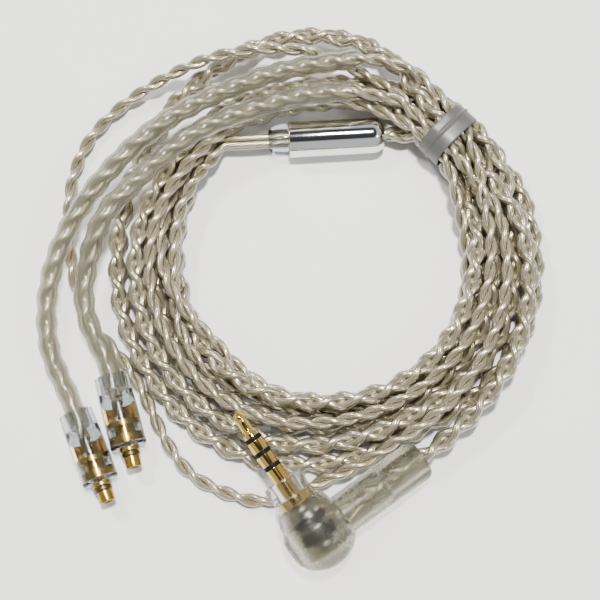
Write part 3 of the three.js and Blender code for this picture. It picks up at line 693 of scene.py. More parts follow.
@dataclass(frozen=True)
class Finish:
    """A finish with handling marks: colours are linear, depths in metres.

    Attributes:
        name: the material's name.
        colour: the main colour.
        second: the colour where the marks lie.
        metal: 1 for bare metal.
        rough: the lowest and highest roughness.
        bump: the depth of the marks.
        size: how fine the marks are; larger is finer.
        see_through: transmission weight, for clear and milky plastic.
        bend: index of refraction.
        lets_light: True for clear pieces whose inside should not lie in their shadow.
    """

    name: str
    colour: Triple
    second: Triple
    metal: float = 0.0
    rough: Pair = (0.2, 0.35)
    bump: float = 0.00001
    size: float = 900.0
    see_through: float = 0.0
    bend: float = 1.48
    lets_light: bool = False

    def build(self) -> Material:
        """The finish as a material.

        Returns:
            The material.
        """
        material = bpy.data.materials.new(self.name)
        material.use_nodes = True
        web = Web(material.node_tree)
        where = web.add("ShaderNodeTexCoord").outputs[Coordinates.OBJECT.value]
        marks = web.add("ShaderNodeGroup", node_tree=EFFECTS.scuffs)
        web.feed(marks.inputs["Vector"], where)
        web.feed(marks.inputs["Size"], self.size)
        shader = web.add("ShaderNodeBsdfPrincipled")
        web.feed(
            shader.inputs["Base Color"],
            web.colour((*self.colour, 1), (*self.second, 1), marks.outputs["Dulling"]),
        )
        web.feed(shader.inputs["Roughness"], web.between(*self.rough, marks.outputs["Dulling"]))
        web.fix(shader, {"Metallic": self.metal, "IOR": self.bend, "Transmission Weight": self.see_through})
        web.feed(shader.inputs["Normal"], web.dent(1.0, self.bump, marks.outputs["Height"]))
        output = web.add("ShaderNodeOutputMaterial")
        if self.lets_light:
            self.light_through(web, shader, output)
        else:
            web.feed(output.inputs["Surface"], shader.outputs[0])
        return material

    def light_through(self, web: Web, shader: Node, output: Node) -> None:
        """Lets lamps shine through the piece onto what is inside it.

        Args:
            web: the material's nodes.
            shader: the surface's shader.
            output: the material's output.
        """
        path = web.add("ShaderNodeLightPath")
        clear = web.add("ShaderNodeBsdfTransparent")
        clear.inputs["Color"].default_value = (*(0.5 + 0.5 * c for c in self.colour), 1)
        blend = web.add("ShaderNodeMixShader")
        web.feed(blend.inputs["Fac"], path.outputs["Is Shadow Ray"])
        web.feed(blend.inputs[1], shader.outputs[0])
        web.feed(blend.inputs[2], clear.outputs[0])
        web.feed(output.inputs["Surface"], blend.outputs[0])


@dataclass(frozen=True)
class WireFinish:
    """Fine silver-coloured strands under a clear glossy jacket, with painted shade in the grooves between
    them; the pattern follows the wire.

    Attributes:
        name: the material's name.
        strand: the strands' colour on their crests.
        gap: painted shade, the darker colour in the grooves between strands.
        strands: fine wires round the core.
        lay: strands crossed in a millimetre along the wire.
        rough: roughness between the strands and on their crests.
        metal: how metallic the strands are.
        relief: weight of the strands' relief.
        depth: its depth in metres.
        jacket: weight of the clear jacket's gloss.
        jacket_rough: the jacket's roughness.
        jacket_bend: its index of refraction.
    """

    name: str
    strand: Triple = (0.40, 0.353, 0.238)
    # gap is painted shade: the colour in the grooves between strands
    gap: Triple = (0.175, 0.147, 0.09)
    strands: float = 8.0
    lay: float = 0.6
    rough: Pair = (0.44, 0.30)
    metal: float = 0.84
    relief: float = 0.6
    depth: float = 0.00008
    jacket: float = 1.0
    jacket_rough: float = 0.08
    jacket_bend: float = 1.85

    def build(self) -> Material:
        """The finish as a material.

        Returns:
            The material.
        """
        material = bpy.data.materials.new(self.name)
        material.use_nodes = True
        web = Web(material.node_tree)
        run = web.add("ShaderNodeTexCoord").outputs[Coordinates.RUN.value]
        laid = web.add("ShaderNodeGroup", node_tree=EFFECTS.strands)
        web.feed(laid.inputs["Vector"], run)
        web.feed(laid.inputs["Strands"], self.strands)
        web.feed(laid.inputs["Lay"], self.lay)
        shader = web.add("ShaderNodeBsdfPrincipled")
        # Base colour: painted shade (gap) in the grooves between strands, blending to the strands' own colour
        # on their crests
        web.feed(
            shader.inputs["Base Color"], web.colour((*self.gap, 1), (*self.strand, 1), laid.outputs["Shade"]),
        )
        web.feed(shader.inputs["Roughness"], web.between(*self.rough, laid.outputs["Height"]))
        web.fix(shader, {
            "Metallic": self.metal, "Coat Weight": self.jacket, "Coat Roughness": self.jacket_rough,
            "Coat IOR": self.jacket_bend,
        })
        web.feed(shader.inputs["Normal"], web.dent(self.relief, self.depth, laid.outputs["Height"]))
        web.feed(web.add("ShaderNodeOutputMaterial").inputs["Surface"], shader.outputs[0])
        return material


class Paintbox:
    """Every material of the cable, built once."""

    def __init__(self) -> None:
        """Builds the materials."""
        self.wire = WireFinish("silver_wire").build()
        self.strand = WireFinish("bare_strands", strands=6.0, lay=2.0, jacket=0.0).build()
        self.chrome = Finish(
            "mirror_chrome", (0.86, 0.86, 0.87), (0.80, 0.80, 0.81), 1.0, (0.03, 0.10), 0.000002,
        ).build()
        self.satin_gold = Finish(
            "satin_gold", (0.45, 0.30, 0.075), (0.33, 0.213, 0.051), 1.0, (0.2, 0.32), 0.000001, 300.0,
        ).build()
        self.gold = Finish(
            "gold_plate", (0.83, 0.57, 0.17), (0.66, 0.43, 0.11), 1.0, (0.04, 0.15), 0.000004,
        ).build()
        self.steel = Finish("dark_spring", (0.17, 0.12, 0.06), (0.06, 0.045, 0.03), 1.0, (0.25, 0.5)).build()
        self.tinned = Finish("tinned_lug", (0.55, 0.56, 0.58), (0.40, 0.41, 0.43), 1.0, (0.3, 0.5)).build()
        self.black = Finish(
            "black_ring", (0.004, 0.004, 0.004), (0.012, 0.012, 0.012), 0.0, (0.3, 0.5), bend=1.12,
        ).build()
        self.core = Finish(
            "dark_core", (0.010, 0.011, 0.014), (0.022, 0.024, 0.028), 0.0, (0.7, 0.95), bend=1.06,
        ).build()
        self.flux = Finish(
            "burnt_flux", (0.03, 0.022, 0.012), (0.09, 0.06, 0.03), 0.0, (0.15, 0.4), 0.00004,
        ).build()
        self.white = Finish(
            "white_insulator", (0.80, 0.79, 0.75), (0.70, 0.69, 0.64), 0.0, (0.4, 0.6),
        ).build()
        self.tie = Finish(
            "tie_plastic", (0.092, 0.090, 0.084), (0.060, 0.058, 0.054), 0.0, (0.25, 0.45), 0.00002, 500.0,
        ).build()
        self.smoky = Finish(
            "smoky_shell", (0.63, 0.65, 0.665), (0.55, 0.57, 0.595), 0.0, (0.03, 0.1), 0.000001, 300.0,
            see_through=1.0, bend=1.4, lets_light=True,
        ).build()
        self.clear = Finish(
            "clear_plastic", (0.82, 0.84, 0.86), (0.74, 0.77, 0.80), 0.0, (0.05, 0.18), 0.000004, 700.0,
            see_through=1.0, bend=1.5, lets_light=True,
        ).build()
        self.sleeve = Finish(
            "shrink_sleeve", (0.58, 0.56, 0.485), (0.48, 0.465, 0.395), 0.0, (0.19, 0.29), 0.000004, 400.0,
            see_through=0.94, bend=1.36, lets_light=True,
        ).build()
        self.milky = Finish(
            "milky_housing", (0.53, 0.515, 0.45), (0.36, 0.35, 0.295), 0.0, (0.21, 0.35), 0.000003, 700.0,
            see_through=0.98, bend=1.28, lets_light=True,
        ).build()
        self.floor = Finish(
            "pale_floor", (0.82, 0.82, 0.81), (0.79, 0.79, 0.79), 0.0, (0.5, 0.7), 0.0, 30.0,
        ).build()


# -------------------- where things lie


@dataclass
class Layout:
    """Places of the rigid groups and the routes of the cords, the same as in the solid model.

    The coil's own centre is the origin of every route; shift moves it to the row frame.
    """

    wire: float = 0.95
    coil_height: float = 6.2
    splitter_centre: Triple = (1.3, 19.3, 2.7)
    splitter_yaw: float = math.radians(3.4)
    plug_yaw: float = math.radians(36.0)
    plug_dip: float = math.radians(6.0)
    plug_rise: float = math.radians(8.0)
    collar_end: float = 9.0
    shell_length: float = 10.9
    shell_radius: float = 2.65
    tie_angle: float = math.radians(47.0)
    mount_height: float = 1.95
    shift: Array = field(init=False)
    splitter: Place = field(init=False)
    plug: Place = field(init=False)
    connectors: dict[str, Place] = field(init=False)

    def __post_init__(self) -> None:
        """Reads the groups' places from the record's mounts, which lie a little above their axes."""
        low, high = (np.array(corner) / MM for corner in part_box("splitter_barrel"))
        centre = 0.5 * (low + high)
        self.shift = np.array([centre[0] - self.splitter_centre[0], centre[1] - self.splitter_centre[1], 0.0])
        mounts = {mount["name"]: mount for mount in frame["record"]["mounts"]}
        self.splitter = Place(np.array(self.splitter_centre) + self.shift, turn("z", self.splitter_yaw))
        plug_axes = turn("z", self.plug_yaw) @ turn("y", self.plug_dip) @ turn("x", self.plug_rise)
        face = np.array(mounts["plug_face"]["pos_m"]) / MM
        self.plug = Place(face - plug_axes @ np.array([0.0, self.collar_end, self.mount_height]), plug_axes)
        self.connectors = {}
        for side in ("left", "right"):
            mount = mounts[f"{side}_connector_face"]
            ahead = np.array(mount["axis"])
            axes = np.stack([ahead, np.cross([0.0, 0.0, 1.0], ahead), [0.0, 0.0, 1.0]], axis=1)
            inset = np.array([self.shell_length, 0.0, self.mount_height])
            self.connectors[side] = Place(np.array(mount["pos_m"]) / MM - axes @ inset, axes)

    @property
    def pair_on_coil(self) -> float:
        """Height of an upper cord's middle where it lies on the coil."""
        return self.coil_height + 0.05 + self.wire

    @property
    def guide_on_coil(self) -> float:
        """Height of an ear guide's middle where it lies on the coil."""
        return self.coil_height + 0.3 + 1.6

    def guide_route(self, side: str) -> Array:
        """An upper cord from the top of the coil to its end in the connector, in the row frame.

        Args:
            side: left or right.

        Returns:
            Points, shape (n, 3).
        """
        pair, guide = self.pair_on_coil, self.guide_on_coil
        routes = {
            "left": [
                (12.6, 28.2, pair), (9.4, 29.2, pair + 0.15), (5.1, 29.6, guide), (-0.5, 29.0, guide),
                (-6.0, 27.9, guide), (-12.0, 26.0, guide), (-18.0, 23.4, guide), (-23.0, 20.6, guide),
                (-27.4, 17.2, guide), (-31.8, 13.0, guide - 0.9), (-35.8, 8.4, 5.6), (-38.8, 3.2, 4.6),
                (-40.6, -2.2, 3.8), (-41.2, -8.0, 3.0), (-40.4, -13.6, 2.6),
            ],
            "right": [
                (10.4, 23.4, pair), (7.2, 24.2, pair + 0.15), (2.9, 24.4, guide), (-1.2, 24.2, guide),
                (-5.2, 23.6, guide), (-12.4, 21.3, guide), (-18.8, 18.6, guide), (-24.2, 14.6, guide),
                (-28.8, 9.9, guide), (-31.8, 6.8, guide - 0.3), (-33.9, 3.0, guide - 1.3), (-35.2, -1.4, 5.0),
                (-35.6, -5.6, 4.3), (-34.8, -9.6, 3.9),
            ],
        }
        inside = self.connectors[side].put(np.array([[-2.0, 0, 0], [0, 0, 0], [3.2, 0, 0]], dtype=float))
        return np.concatenate([np.array(routes[side]) + self.shift, inside])

    def loop_route(self) -> Array:
        """The loose loop of the right upper cord outside the coil, in the row frame.

        Returns:
            Points, shape (n, 3).
        """
        pair = self.pair_on_coil
        points = [
            (-3.0, 31.4, pair), (-10.5, 31.6, pair), (-18.2, 30.4, pair - 1.0), (-25.8, 28.0, 3.0),
            (-32.1, 24.1, 1.2), (-36.6, 18.6, 1.05), (-38.7, 11.5, 1.05), (-38.6, 4.6, 1.05),
            (-37.8, -1.6, 1.05), (-36.3, -6.2, 1.05), (-34.6, -9.2, 1.05), (-32.8, -11.4, 1.05),
            (-30.8, -13.6, 1.05), (-28.4, -16.9, 1.05), (-26.4, -20.5, 1.05), (-23.2, -26.8, 1.05),
            (-19.9, -30.9, 1.05), (-14.9, -33.6, 1.05), (-9.5, -34.8, 1.05), (-3.6, -33.0, 1.15),
        ]
        return np.array(points) + self.shift


# -------------------- the coil


@dataclass(frozen=True)
class Section:
    """A rounded rectangle across the coil: its middle and half size as (radius, height), and its corner."""

    middle: Pair
    half: Pair
    corner: float


@dataclass
class Run:
    """One cord before it settles: its points in order and which of them are free."""

    name: str
    diameter: float
    points: Array
    free: Array


@dataclass
class Winding:
    """Winds the three cords into one tied coil and lets them settle clear of each other.

    Each cord starts on a track of stations (angle, radius, height) round the coil's middle. Then, in
    small steps, points of one cord keep their spacing, points of different turns that come too close
    move apart, and all stay inside the coil's rounded section and the tie, clear of the hardware.

    Attributes:
        layout: where the hardware and the fixed routes lie.
        spacing: distance between the points of a cord.
        rounds: steps until the cords have settled.
        pull: share of the way back to its first track that a point moves in a step.
        push: share of an overlap that each of two close points moves in a step.
        straighten: share of a bend that is taken out in a step.
        watched_gap: free room between two points up to which they are watched.
        search_every: steps between two searches for points to watch.
        neighbours: points next to each other along a cord that aren't held apart.
        rest_limits: shortest distance between two points, and the longest in spacings.
        pressed: share of touching below which two points count as pressed together.
        last_ease: share of a bend that is taken out once more at the end.
        line_step: distance between the points of a finished centreline.
        main_diameter: the main cord's room.
        pair_diameter: an upper cord's room.
        loose: the coil's section.
        tied: its section at the tie.
        grip: angles from the tie where the tied section ends and the loose one starts.
        bulge: how far the loose turns spread outwards at the top.
        bulge_angle: where they spread most.
        bulge_width: how wide the spread is, in radians.
    """

    layout: Layout
    spacing: float = 2.1
    rounds: int = 500
    pull: float = 0.02
    push: float = 0.3
    straighten: float = 0.25
    watched_gap: float = 1.2
    search_every: int = 12
    neighbours: int = 5
    rest_limits: Pair = (0.5, 1.6)
    pressed: float = 0.85
    last_ease: float = 0.3
    line_step: float = 0.5
    main_diameter: float = 2.8
    pair_diameter: float = 1.85
    loose: Section = Section((26.25, 3.17), (6.75, 3.03), 2.4)
    tied: Section = Section((25.95, 4.9), (4.2, 3.6), 3.3)
    grip: Pair = (math.radians(5.0), math.radians(22.0))
    bulge: float = 2.2
    bulge_angle: float = math.radians(110.0)
    bulge_width: float = 0.75

    def track(self, stations: list[Triple]) -> Array:
        """Points along stations (angle in degrees, radius, height), eased between them.

        Radius and height go straight from station to station at every second degree, and are then
        averaged with bell-shaped weights over the points on either side.

        Args:
            stations: the stations in the cord's order.

        Returns:
            Points in the row frame, in the cord's order.
        """
        step, reach, width = 2.0, 9, 4.0
        table = np.array(stations)
        order = table if table[-1, 0] > table[0, 0] else table[::-1]
        angle = np.arange(order[0, 0], order[-1, 0] + step / 2, step)
        kernel = np.exp(-0.5 * (np.arange(-reach, reach + 1) / width) ** 2)
        kernel /= kernel.sum()
        eased = []
        for column in (1, 2):
            values = np.interp(angle, order[:, 0], order[:, column])
            eased.append(np.convolve(np.pad(values, reach, mode="edge"), kernel, mode="valid"))
        radians = np.radians(angle)
        points = np.stack([eased[0] * np.cos(radians), eased[0] * np.sin(radians), eased[1]], axis=1)
        if order is not table:
            points = points[::-1]
        return points + self.layout.shift

    def main_run(self) -> Run:
        """The main cord from inside the splitter, clockwise round, into the plug's barrel.

        Returns:
            The run.
        """
        by_turn = [
            [
                (47, 24.0, 3.0), (22, 22.0, 3.2), (0, 21.7, 3.4), (-30, 21.5, 3.4), (-62, 21.3, 3.4),
                (-90, 21.8, 3.4), (-120, 22.4, 3.3), (-150, 23.2, 2.6), (-180, 23.6, 1.6), (-235, 25.8, 1.6),
                (-270, 25.9, 1.7),
            ],
            [
                (47, 28.0, 3.0), (22, 30.9, 1.8), (0, 31.4, 1.6), (-30, 31.0, 1.6), (-62, 27.3, 1.6),
                (-90, 30.6, 1.6), (-120, 31.9, 1.6), (-150, 32.0, 1.6), (-180, 31.9, 1.6), (-205, 32.6, 1.7),
                (-218, 33.8, 1.9), (-232, 35.2, 2.2), (-246, 35.8, 2.6), (-262, 36.8, 3.2), (-285, 35.6, 3.8),
            ],
            [
                (47, 22.9, 5.6), (22, 25.0, 2.4), (0, 25.2, 1.6), (-30, 25.0, 1.6), (-62, 24.5, 1.6),
                (-90, 25.0, 1.6), (-120, 25.6, 1.6), (-150, 26.3, 1.6), (-180, 26.6, 1.6), (-235, 28.5, 1.6),
                (-270, 28.9, 1.7),
            ],
            [
                (47, 29.2, 5.6), (22, 28.4, 2.6), (0, 28.2, 1.6), (-30, 28.0, 2.4), (-62, 26.0, 4.4),
                (-90, 27.9, 1.9), (-120, 29.0, 1.7), (-150, 29.3, 3.0), (-180, 28.9, 4.4), (-235, 27.2, 4.4),
                (-270, 27.2, 4.6),
            ],
            [(47, 26.0, 5.0), (22, 29.4, 4.4), (0, 30.0, 4.3), (-45, 31.0, 3.9), (-58, 31.2, 3.2)],
        ]
        stations = [(a - 360.0 * k, r, z) for k, row in enumerate(by_turn) for a, r, z in row]
        start = self.layout.splitter.put(on_axis((0.3, 3.0, 5.5, 7.6, 9.6)))
        end = self.layout.plug.put(on_axis((21.4, 19.4, 17.4, 14.4, 11.0, 7.4)))
        middle = self.track([(60.0, 22.4, 2.9), *stations])
        return self.join("main_cord", self.main_diameter, [(start, False), (middle, True), (end, False)])

    def pair_run(self, side: str) -> Run:
        """An upper cord from inside the splitter, anticlockwise round, to its connector.

        Args:
            side: left or right.

        Returns:
            The run.
        """
        offset = 0.5 if side == "left" else -0.5
        start = self.layout.splitter.put(on_axis((-0.3, -4.0, -8.0, -12.0, -14.6, -17.2), offset))
        route = smooth_curve(self.layout.guide_route(side), self.spacing)
        if side == "left":
            stations = [
                (133, 24.6, 3.0), (140, 25.9, 3.5), (150, 26.6, 4.0), (165, 26.2, 4.3), (180, 25.4, 4.3),
                (210, 22.8, 3.6), (240, 20.8, 1.1), (270, 20.6, 1.1), (298, 20.5, 1.1), (330, 20.5, 1.1),
                (360, 20.7, 1.1), (385, 21.6, 4.6), (407, 24.2, 7.3), (450, 25.6, 4.6), (480, 25.4, 4.6),
                (540, 27.2, 4.6), (600, 26.6, 4.3), (630, 24.6, 4.3), (658, 23.6, 4.5), (690, 23.9, 4.3),
                (720, 24.2, 4.3), (767, 27.8, 7.3), (782, 30.2, 7.1),
            ]
            return self.join(
                "left_cord", self.pair_diameter,
                [(start, False), (self.track(stations), True), (route, False)],
            )
        first = [
            (133, 23.7, 3.0), (140, 24.5, 3.5), (150, 24.8, 4.0), (165, 24.1, 4.3), (180, 23.2, 4.3),
            (210, 24.6, 3.6), (240, 23.0, 1.1), (270, 22.8, 1.1), (298, 22.5, 1.1), (330, 22.7, 1.1),
            (360, 22.8, 1.1), (385, 24.4, 1.4), (407, 26.0, 2.4), (436, 29.6, 4.6), (450, 31.0, 6.8),
        ]
        second = [
            (636, 31.6, 1.9), (645, 30.0, 3.9), (658, 28.2, 4.9), (690, 27.2, 4.6), (720, 26.8, 4.4),
            (745, 26.2, 6.0), (767, 25.9, 7.5), (781, 26.2, 7.2),
        ]
        loop = smooth_curve(self.layout.loop_route(), self.spacing)
        pieces = [
            (start, False), (self.track(first), True), (loop, False), (self.track(second), True),
            (route, False),
        ]
        return self.join("right_cord", self.pair_diameter, pieces)

    def join(self, name: str, diameter: float, pieces: list[tuple[Array, bool]]) -> Run:
        """A run from stretches in order, each fixed or free, with the free ones evenly spaced.

        Args:
            name: the cord's name.
            diameter: its room.
            pieces: each stretch, and whether it is free.

        Returns:
            The run.
        """
        points, free = [], []
        for stretch, loose in pieces:
            taken = resample(stretch, self.spacing) if loose else stretch
            points.append(taken)
            free.append(np.full(len(taken), loose))
        return Run(name, diameter, np.concatenate(points), np.concatenate(free))

    def nearness_to_tie(self, points: Array) -> Array:
        """1 at the tie, falling to 0 some way round the coil on either side.

        Args:
            points: every cord's points.

        Returns:
            A share for each point.
        """
        angle = np.arctan2(points[:, 1] - self.layout.shift[1], points[:, 0] - self.layout.shift[0])
        gap = np.abs((angle - self.layout.tie_angle + math.pi) % (2 * math.pi) - math.pi)
        return 1.0 - step_between(gap, *self.grip)

    def keep_in_section(self, points: Array, radius: Array) -> Array:
        """The move that brings each point inside the coil's section, which narrows and lifts at the tie.

        Args:
            points: every cord's points.
            radius: each point's cord radius.

        Returns:
            A move for each point.
        """
        flat = points[:, :2] - self.layout.shift[:2]
        reach = np.linalg.norm(flat, axis=1)
        share = self.nearness_to_tie(points)[:, None]
        angle = np.arctan2(flat[:, 1], flat[:, 0])
        spread = self.bulge * np.exp(-(((angle - self.bulge_angle) / self.bulge_width) ** 2))
        slack = spread[:, None] * np.array([1.0, 0.0])
        centre = (1 - share) * np.array(self.loose.middle) + share * np.array(self.tied.middle) + slack
        half = (1 - share) * np.array(self.loose.half) + share * np.array(self.tied.half) + slack
        corner = (1 - share[:, 0]) * self.loose.corner + share[:, 0] * self.tied.corner
        offset = np.stack([reach, points[:, 2]], axis=1) - centre
        room = half - np.maximum(corner, radius)[:, None]
        beyond = np.maximum(np.abs(offset) - room, 0.0)
        depth = np.linalg.norm(beyond, axis=1)
        excess = np.maximum(depth - np.maximum(corner - radius, 0.0), 0.0)
        push = -np.sign(offset) * beyond / np.maximum(depth, 1e-9)[:, None] * excess[:, None]
        outward = flat / np.maximum(reach, 1e-9)[:, None]
        return np.concatenate([outward * push[:, :1], push[:, 1:]], axis=1)

    def capsules(self) -> list[tuple[Array, Array, float]]:
        """The hardware that the cords keep clear of, as thick line stretches.

        Returns:
            Each stretch's two ends and its radius.
        """
        splitter, plug = self.layout.splitter, self.layout.plug
        stretches = [
            (splitter, (-14.0, 0.0, 0.0), (6.6, 0.0, 0.0), 2.75),
            (plug, (0.0, 5.0, 0.0), (0.0, 8.0, 0.0), 3.0),
            (plug, (0.0, 9.0, 0.0), (0.0, 20.0, 0.0), 1.35),
            (plug, (0.0, 0.0, 0.0), (17.6, 0.0, 0.0), 3.0),
            (plug, (0.0, -0.5, 0.0), (0.0, 0.5, 0.0), 4.9),
        ]
        return [(place.put(np.array(a)), place.put(np.array(b)), radius) for place, a, b, radius in stretches]

    def clear_of(self, points: Array, radius: Array, capsule: tuple[Array, Array, float]) -> Array:
        """The move that brings each point out of a capsule.

        Args:
            points: every cord's points.
            radius: each point's cord radius.
            capsule: its ends and radius.

        Returns:
            A move for each point.
        """
        start, stop, size = capsule
        line = stop - start
        share = np.clip((points - start) @ line / (line @ line), 0.0, 1.0)
        away = points - (start + share[:, None] * line)
        distance = np.linalg.norm(away, axis=1)
        short = np.maximum(size + radius - distance, 0.0)
        return away / np.maximum(distance, 1e-9)[:, None] * short[:, None]

    def keep_spacing(self, points: Array, free: Array, linked: Array, rest: Array) -> None:
        """Moves the free ends of each link, in place, until the link has its own length again.

        Args:
            points: every cord's points.
            free: 1 for a free point and 0 for a fixed one, shape (n, 1).
            linked: the number of each link's first point.
            rest: each link's length.
        """
        for parity in (0, 1):
            edge, length = linked[linked % 2 == parity], rest[linked % 2 == parity]
            step = points[edge + 1] - points[edge]
            size = np.linalg.norm(step, axis=1)
            fix = step / size[:, None] * (size - length)[:, None]
            weight = free[edge] + free[edge + 1]
            share = np.divide(1.0, weight, out=np.zeros_like(weight), where=weight > 0)
            points[edge] += fix * share * free[edge]
            points[edge + 1] -= fix * share * free[edge + 1]

    def settle(self, runs: list[Run]) -> list[Array]:
        """Lets the runs settle.

        Args:
            runs: the cords with their first tracks.

        Returns:
            Each cord's settled points, in millimetres in the row frame.
        """
        points = np.concatenate([run.points for run in runs])
        home = points.copy()
        free = np.concatenate([run.free for run in runs]).astype(float)[:, None]
        owner = np.concatenate([np.full(len(run.points), k) for k, run in enumerate(runs)])
        radius = np.concatenate([np.full(len(run.points), run.diameter / 2) for run in runs])
        number = np.arange(len(points))
        linked = np.flatnonzero(owner[1:] == owner[:-1])
        rest = np.linalg.norm(points[linked + 1] - points[linked], axis=1)
        rest = np.clip(rest, self.rest_limits[0], self.rest_limits[1] * self.spacing)
        inner = number[1:-1][(owner[2:] == owner[1:-1]) & (owner[:-2] == owner[1:-1])]
        upper_i, upper_j = np.triu_indices(len(points), 1)
        apart = (owner[upper_i] != owner[upper_j]) | (upper_j - upper_i > self.neighbours)
        apart &= (free[upper_i, 0] + free[upper_j, 0]) > 0
        upper_i, upper_j = upper_i[apart], upper_j[apart]
        wanted_all = radius[upper_i] + radius[upper_j]
        close = np.array([], dtype=int)
        for round_number in range(self.rounds):
            if round_number % self.search_every == 0:
                gap = np.linalg.norm(points[upper_i] - points[upper_j], axis=1)
                close = np.flatnonzero(gap < wanted_all + self.watched_gap)
            i, j, wanted = upper_i[close], upper_j[close], wanted_all[close]
            between = points[i] - points[j]
            gap = np.linalg.norm(between, axis=1)
            overlap = np.maximum(wanted - gap, 0.0)[:, None]
            push = between / np.maximum(gap, 1e-6)[:, None] * overlap * self.push
            move = self.pull * (home - points)
            np.add.at(move, i, push)
            np.add.at(move, j, -push)
            points = points + move * free
            self.keep_spacing(points, free, linked, rest)
            bend = 0.5 * (points[inner - 1] + points[inner + 1]) - points[inner]
            points[inner] += self.straighten * bend * free[inner]
            for capsule in self.capsules():
                points = points + self.clear_of(points, radius, capsule) * free
            points = points + self.keep_in_section(points, radius) * free
        worst = np.linalg.norm(points[upper_i] - points[upper_j], axis=1) / wanted_all
        LOG.info(
            "settled: closest turns at %.2f of touching, %d pressed", worst.min(),
            (worst < self.pressed).sum(),
        )
        return [points[owner == k] for k in range(len(runs))]

    def centrelines(self) -> dict[str, Array]:
        """Each cord's smooth centreline by name, with its free points eased once more.

        Returns:
            Points half a millimetre apart, by cord.
        """
        runs = [self.main_run(), self.pair_run("left"), self.pair_run("right")]
        lines = {}
        for run, points in zip(runs, self.settle(runs)):
            soft = points.copy()
            bend = 0.5 * (points[:-2] + points[2:]) - points[1:-1]
            soft[1:-1] += self.last_ease * run.free[1:-1, None] * bend
            lines[run.name] = smooth_curve(soft, self.line_step)
        return lines


@dataclass
class Cords:
    """The three cords as jacketed wires on their settled centrelines."""

    layout: Layout
    paint: Paintbox
    braid_pitch: float = 9.3
    braid_radius: float = 0.70
    braid_swing: float = 0.24
    braid_wire: float = 1.20
    end_size: float = 0.82
    ease_start: Pair = (5.0, 13.0)
    ease_stop: Pair = (8.0, 13.0)
    pair_wire: float = 0.98
    pair_pitch: float = 7.2
    straight: float = 16.8
    ring_step: float = 0.52
    sides: int = 10

    def __post_init__(self) -> None:
        """Settles the coil."""
        self.lines = Winding(self.layout).centrelines()

    def braid(self, path: Array) -> list[Patch]:
        """Four wires in a round braid.

        Two wires turn clockwise and two anticlockwise. Each one's distance from the middle swings
        twice a turn, so that it goes over one crossing and under the next. Near both ends the braid
        is drawn in to a share of its size.

        Args:
            path: the cord's centreline.

        Returns:
            Four wires.
        """
        line = resample(path, self.ring_step)
        along = lengths_along(line)
        _, side, up = level_frames(line)
        phase = 2 * math.pi * along / self.braid_pitch
        ends = step_between(along, *self.ease_start) * step_between(along[-1] - along, *self.ease_stop)
        size = self.end_size + (1.0 - self.end_size) * ends
        wires = []
        for way, start in ((1, 0.0), (1, math.pi), (-1, 0.0), (-1, math.pi)):
            reach = size * (self.braid_radius + way * self.braid_swing * np.cos(2 * phase))
            angle = way * phase + start
            centre = line + (reach * np.cos(angle))[:, None] * side + (reach * np.sin(angle))[:, None] * up
            wires.append(wire_along(centre, self.braid_wire / 2, self.sides))
        return wires

    def twist_angle(self, along: Array) -> Array:
        """The pair's angle: upright over the first straight stretch, then turning evenly.

        Args:
            along: distances along the cord.

        Returns:
            An angle in radians for each.
        """
        turned = np.maximum(along - self.straight, 0.0)
        eased = turned * step_between(turned, 0.0, 6.0)
        return math.pi / 2 + 2 * math.pi * eased / self.pair_pitch

    def pair(self, path: Array) -> list[Patch]:
        """Two wires twisted round each other: two helices half a turn apart.

        Args:
            path: the cord's centreline.

        Returns:
            Two wires.
        """
        line = resample(path, self.ring_step)
        along = lengths_along(line)
        _, side, up = level_frames(line)
        angle = self.twist_angle(along)
        wires = []
        for start in (0.0, math.pi):
            reach = self.pair_wire / 2
            offset = np.cos(angle + start)[:, None] * side + np.sin(angle + start)[:, None] * up
            wires.append(wire_along(line + reach * offset, self.pair_wire / 2, self.sides))
        return wires

    def build(self, plug: list[Piece], connectors: dict[str, list[Piece]]) -> None:
        """Args:
            plug: the pieces on the main cord; not used.
            connectors: the pieces on each upper cord, by side; not used.
        """
        main = make_piece("main_cord", self.braid(self.lines["main_cord"]), self.paint.wire, 60)
        place_piece(main, "cord", "cable_coil", "main_cord_at_splitter", "main_cord_at_plug")
        for side in ("left", "right"):
            path = self.lines[f"{side}_cord"]
            cord = make_piece(f"{side}_cord", self.pair(path), self.paint.wire, 60)
            nodes = ["cable_coil", f"{side}_pair_at_splitter", f"{side}_pair_in_guide"]
            if side == "right":
                nodes.append("right_pair_loop")
            place_piece(cord, "cord", *nodes)

    def guide_line(self, side: str, length: float) -> tuple[Array, Array]:
        """The stretch of an upper cord that its ear guide covers, and the pair's angle on it.

        Args:
            side: left or right.
            length: the guide's length.

        Returns:
            Points of the stretch, and an angle for each.
        """
        line = resample(self.lines[f"{side}_cord"], self.ring_step)
        along = lengths_along(line)
        stop = along[-1] - 0.8
        chosen = (along >= stop - length) & (along <= stop)
        return line[chosen], self.twist_angle(along)[chosen]


# -------------------- splitter, slider and tie


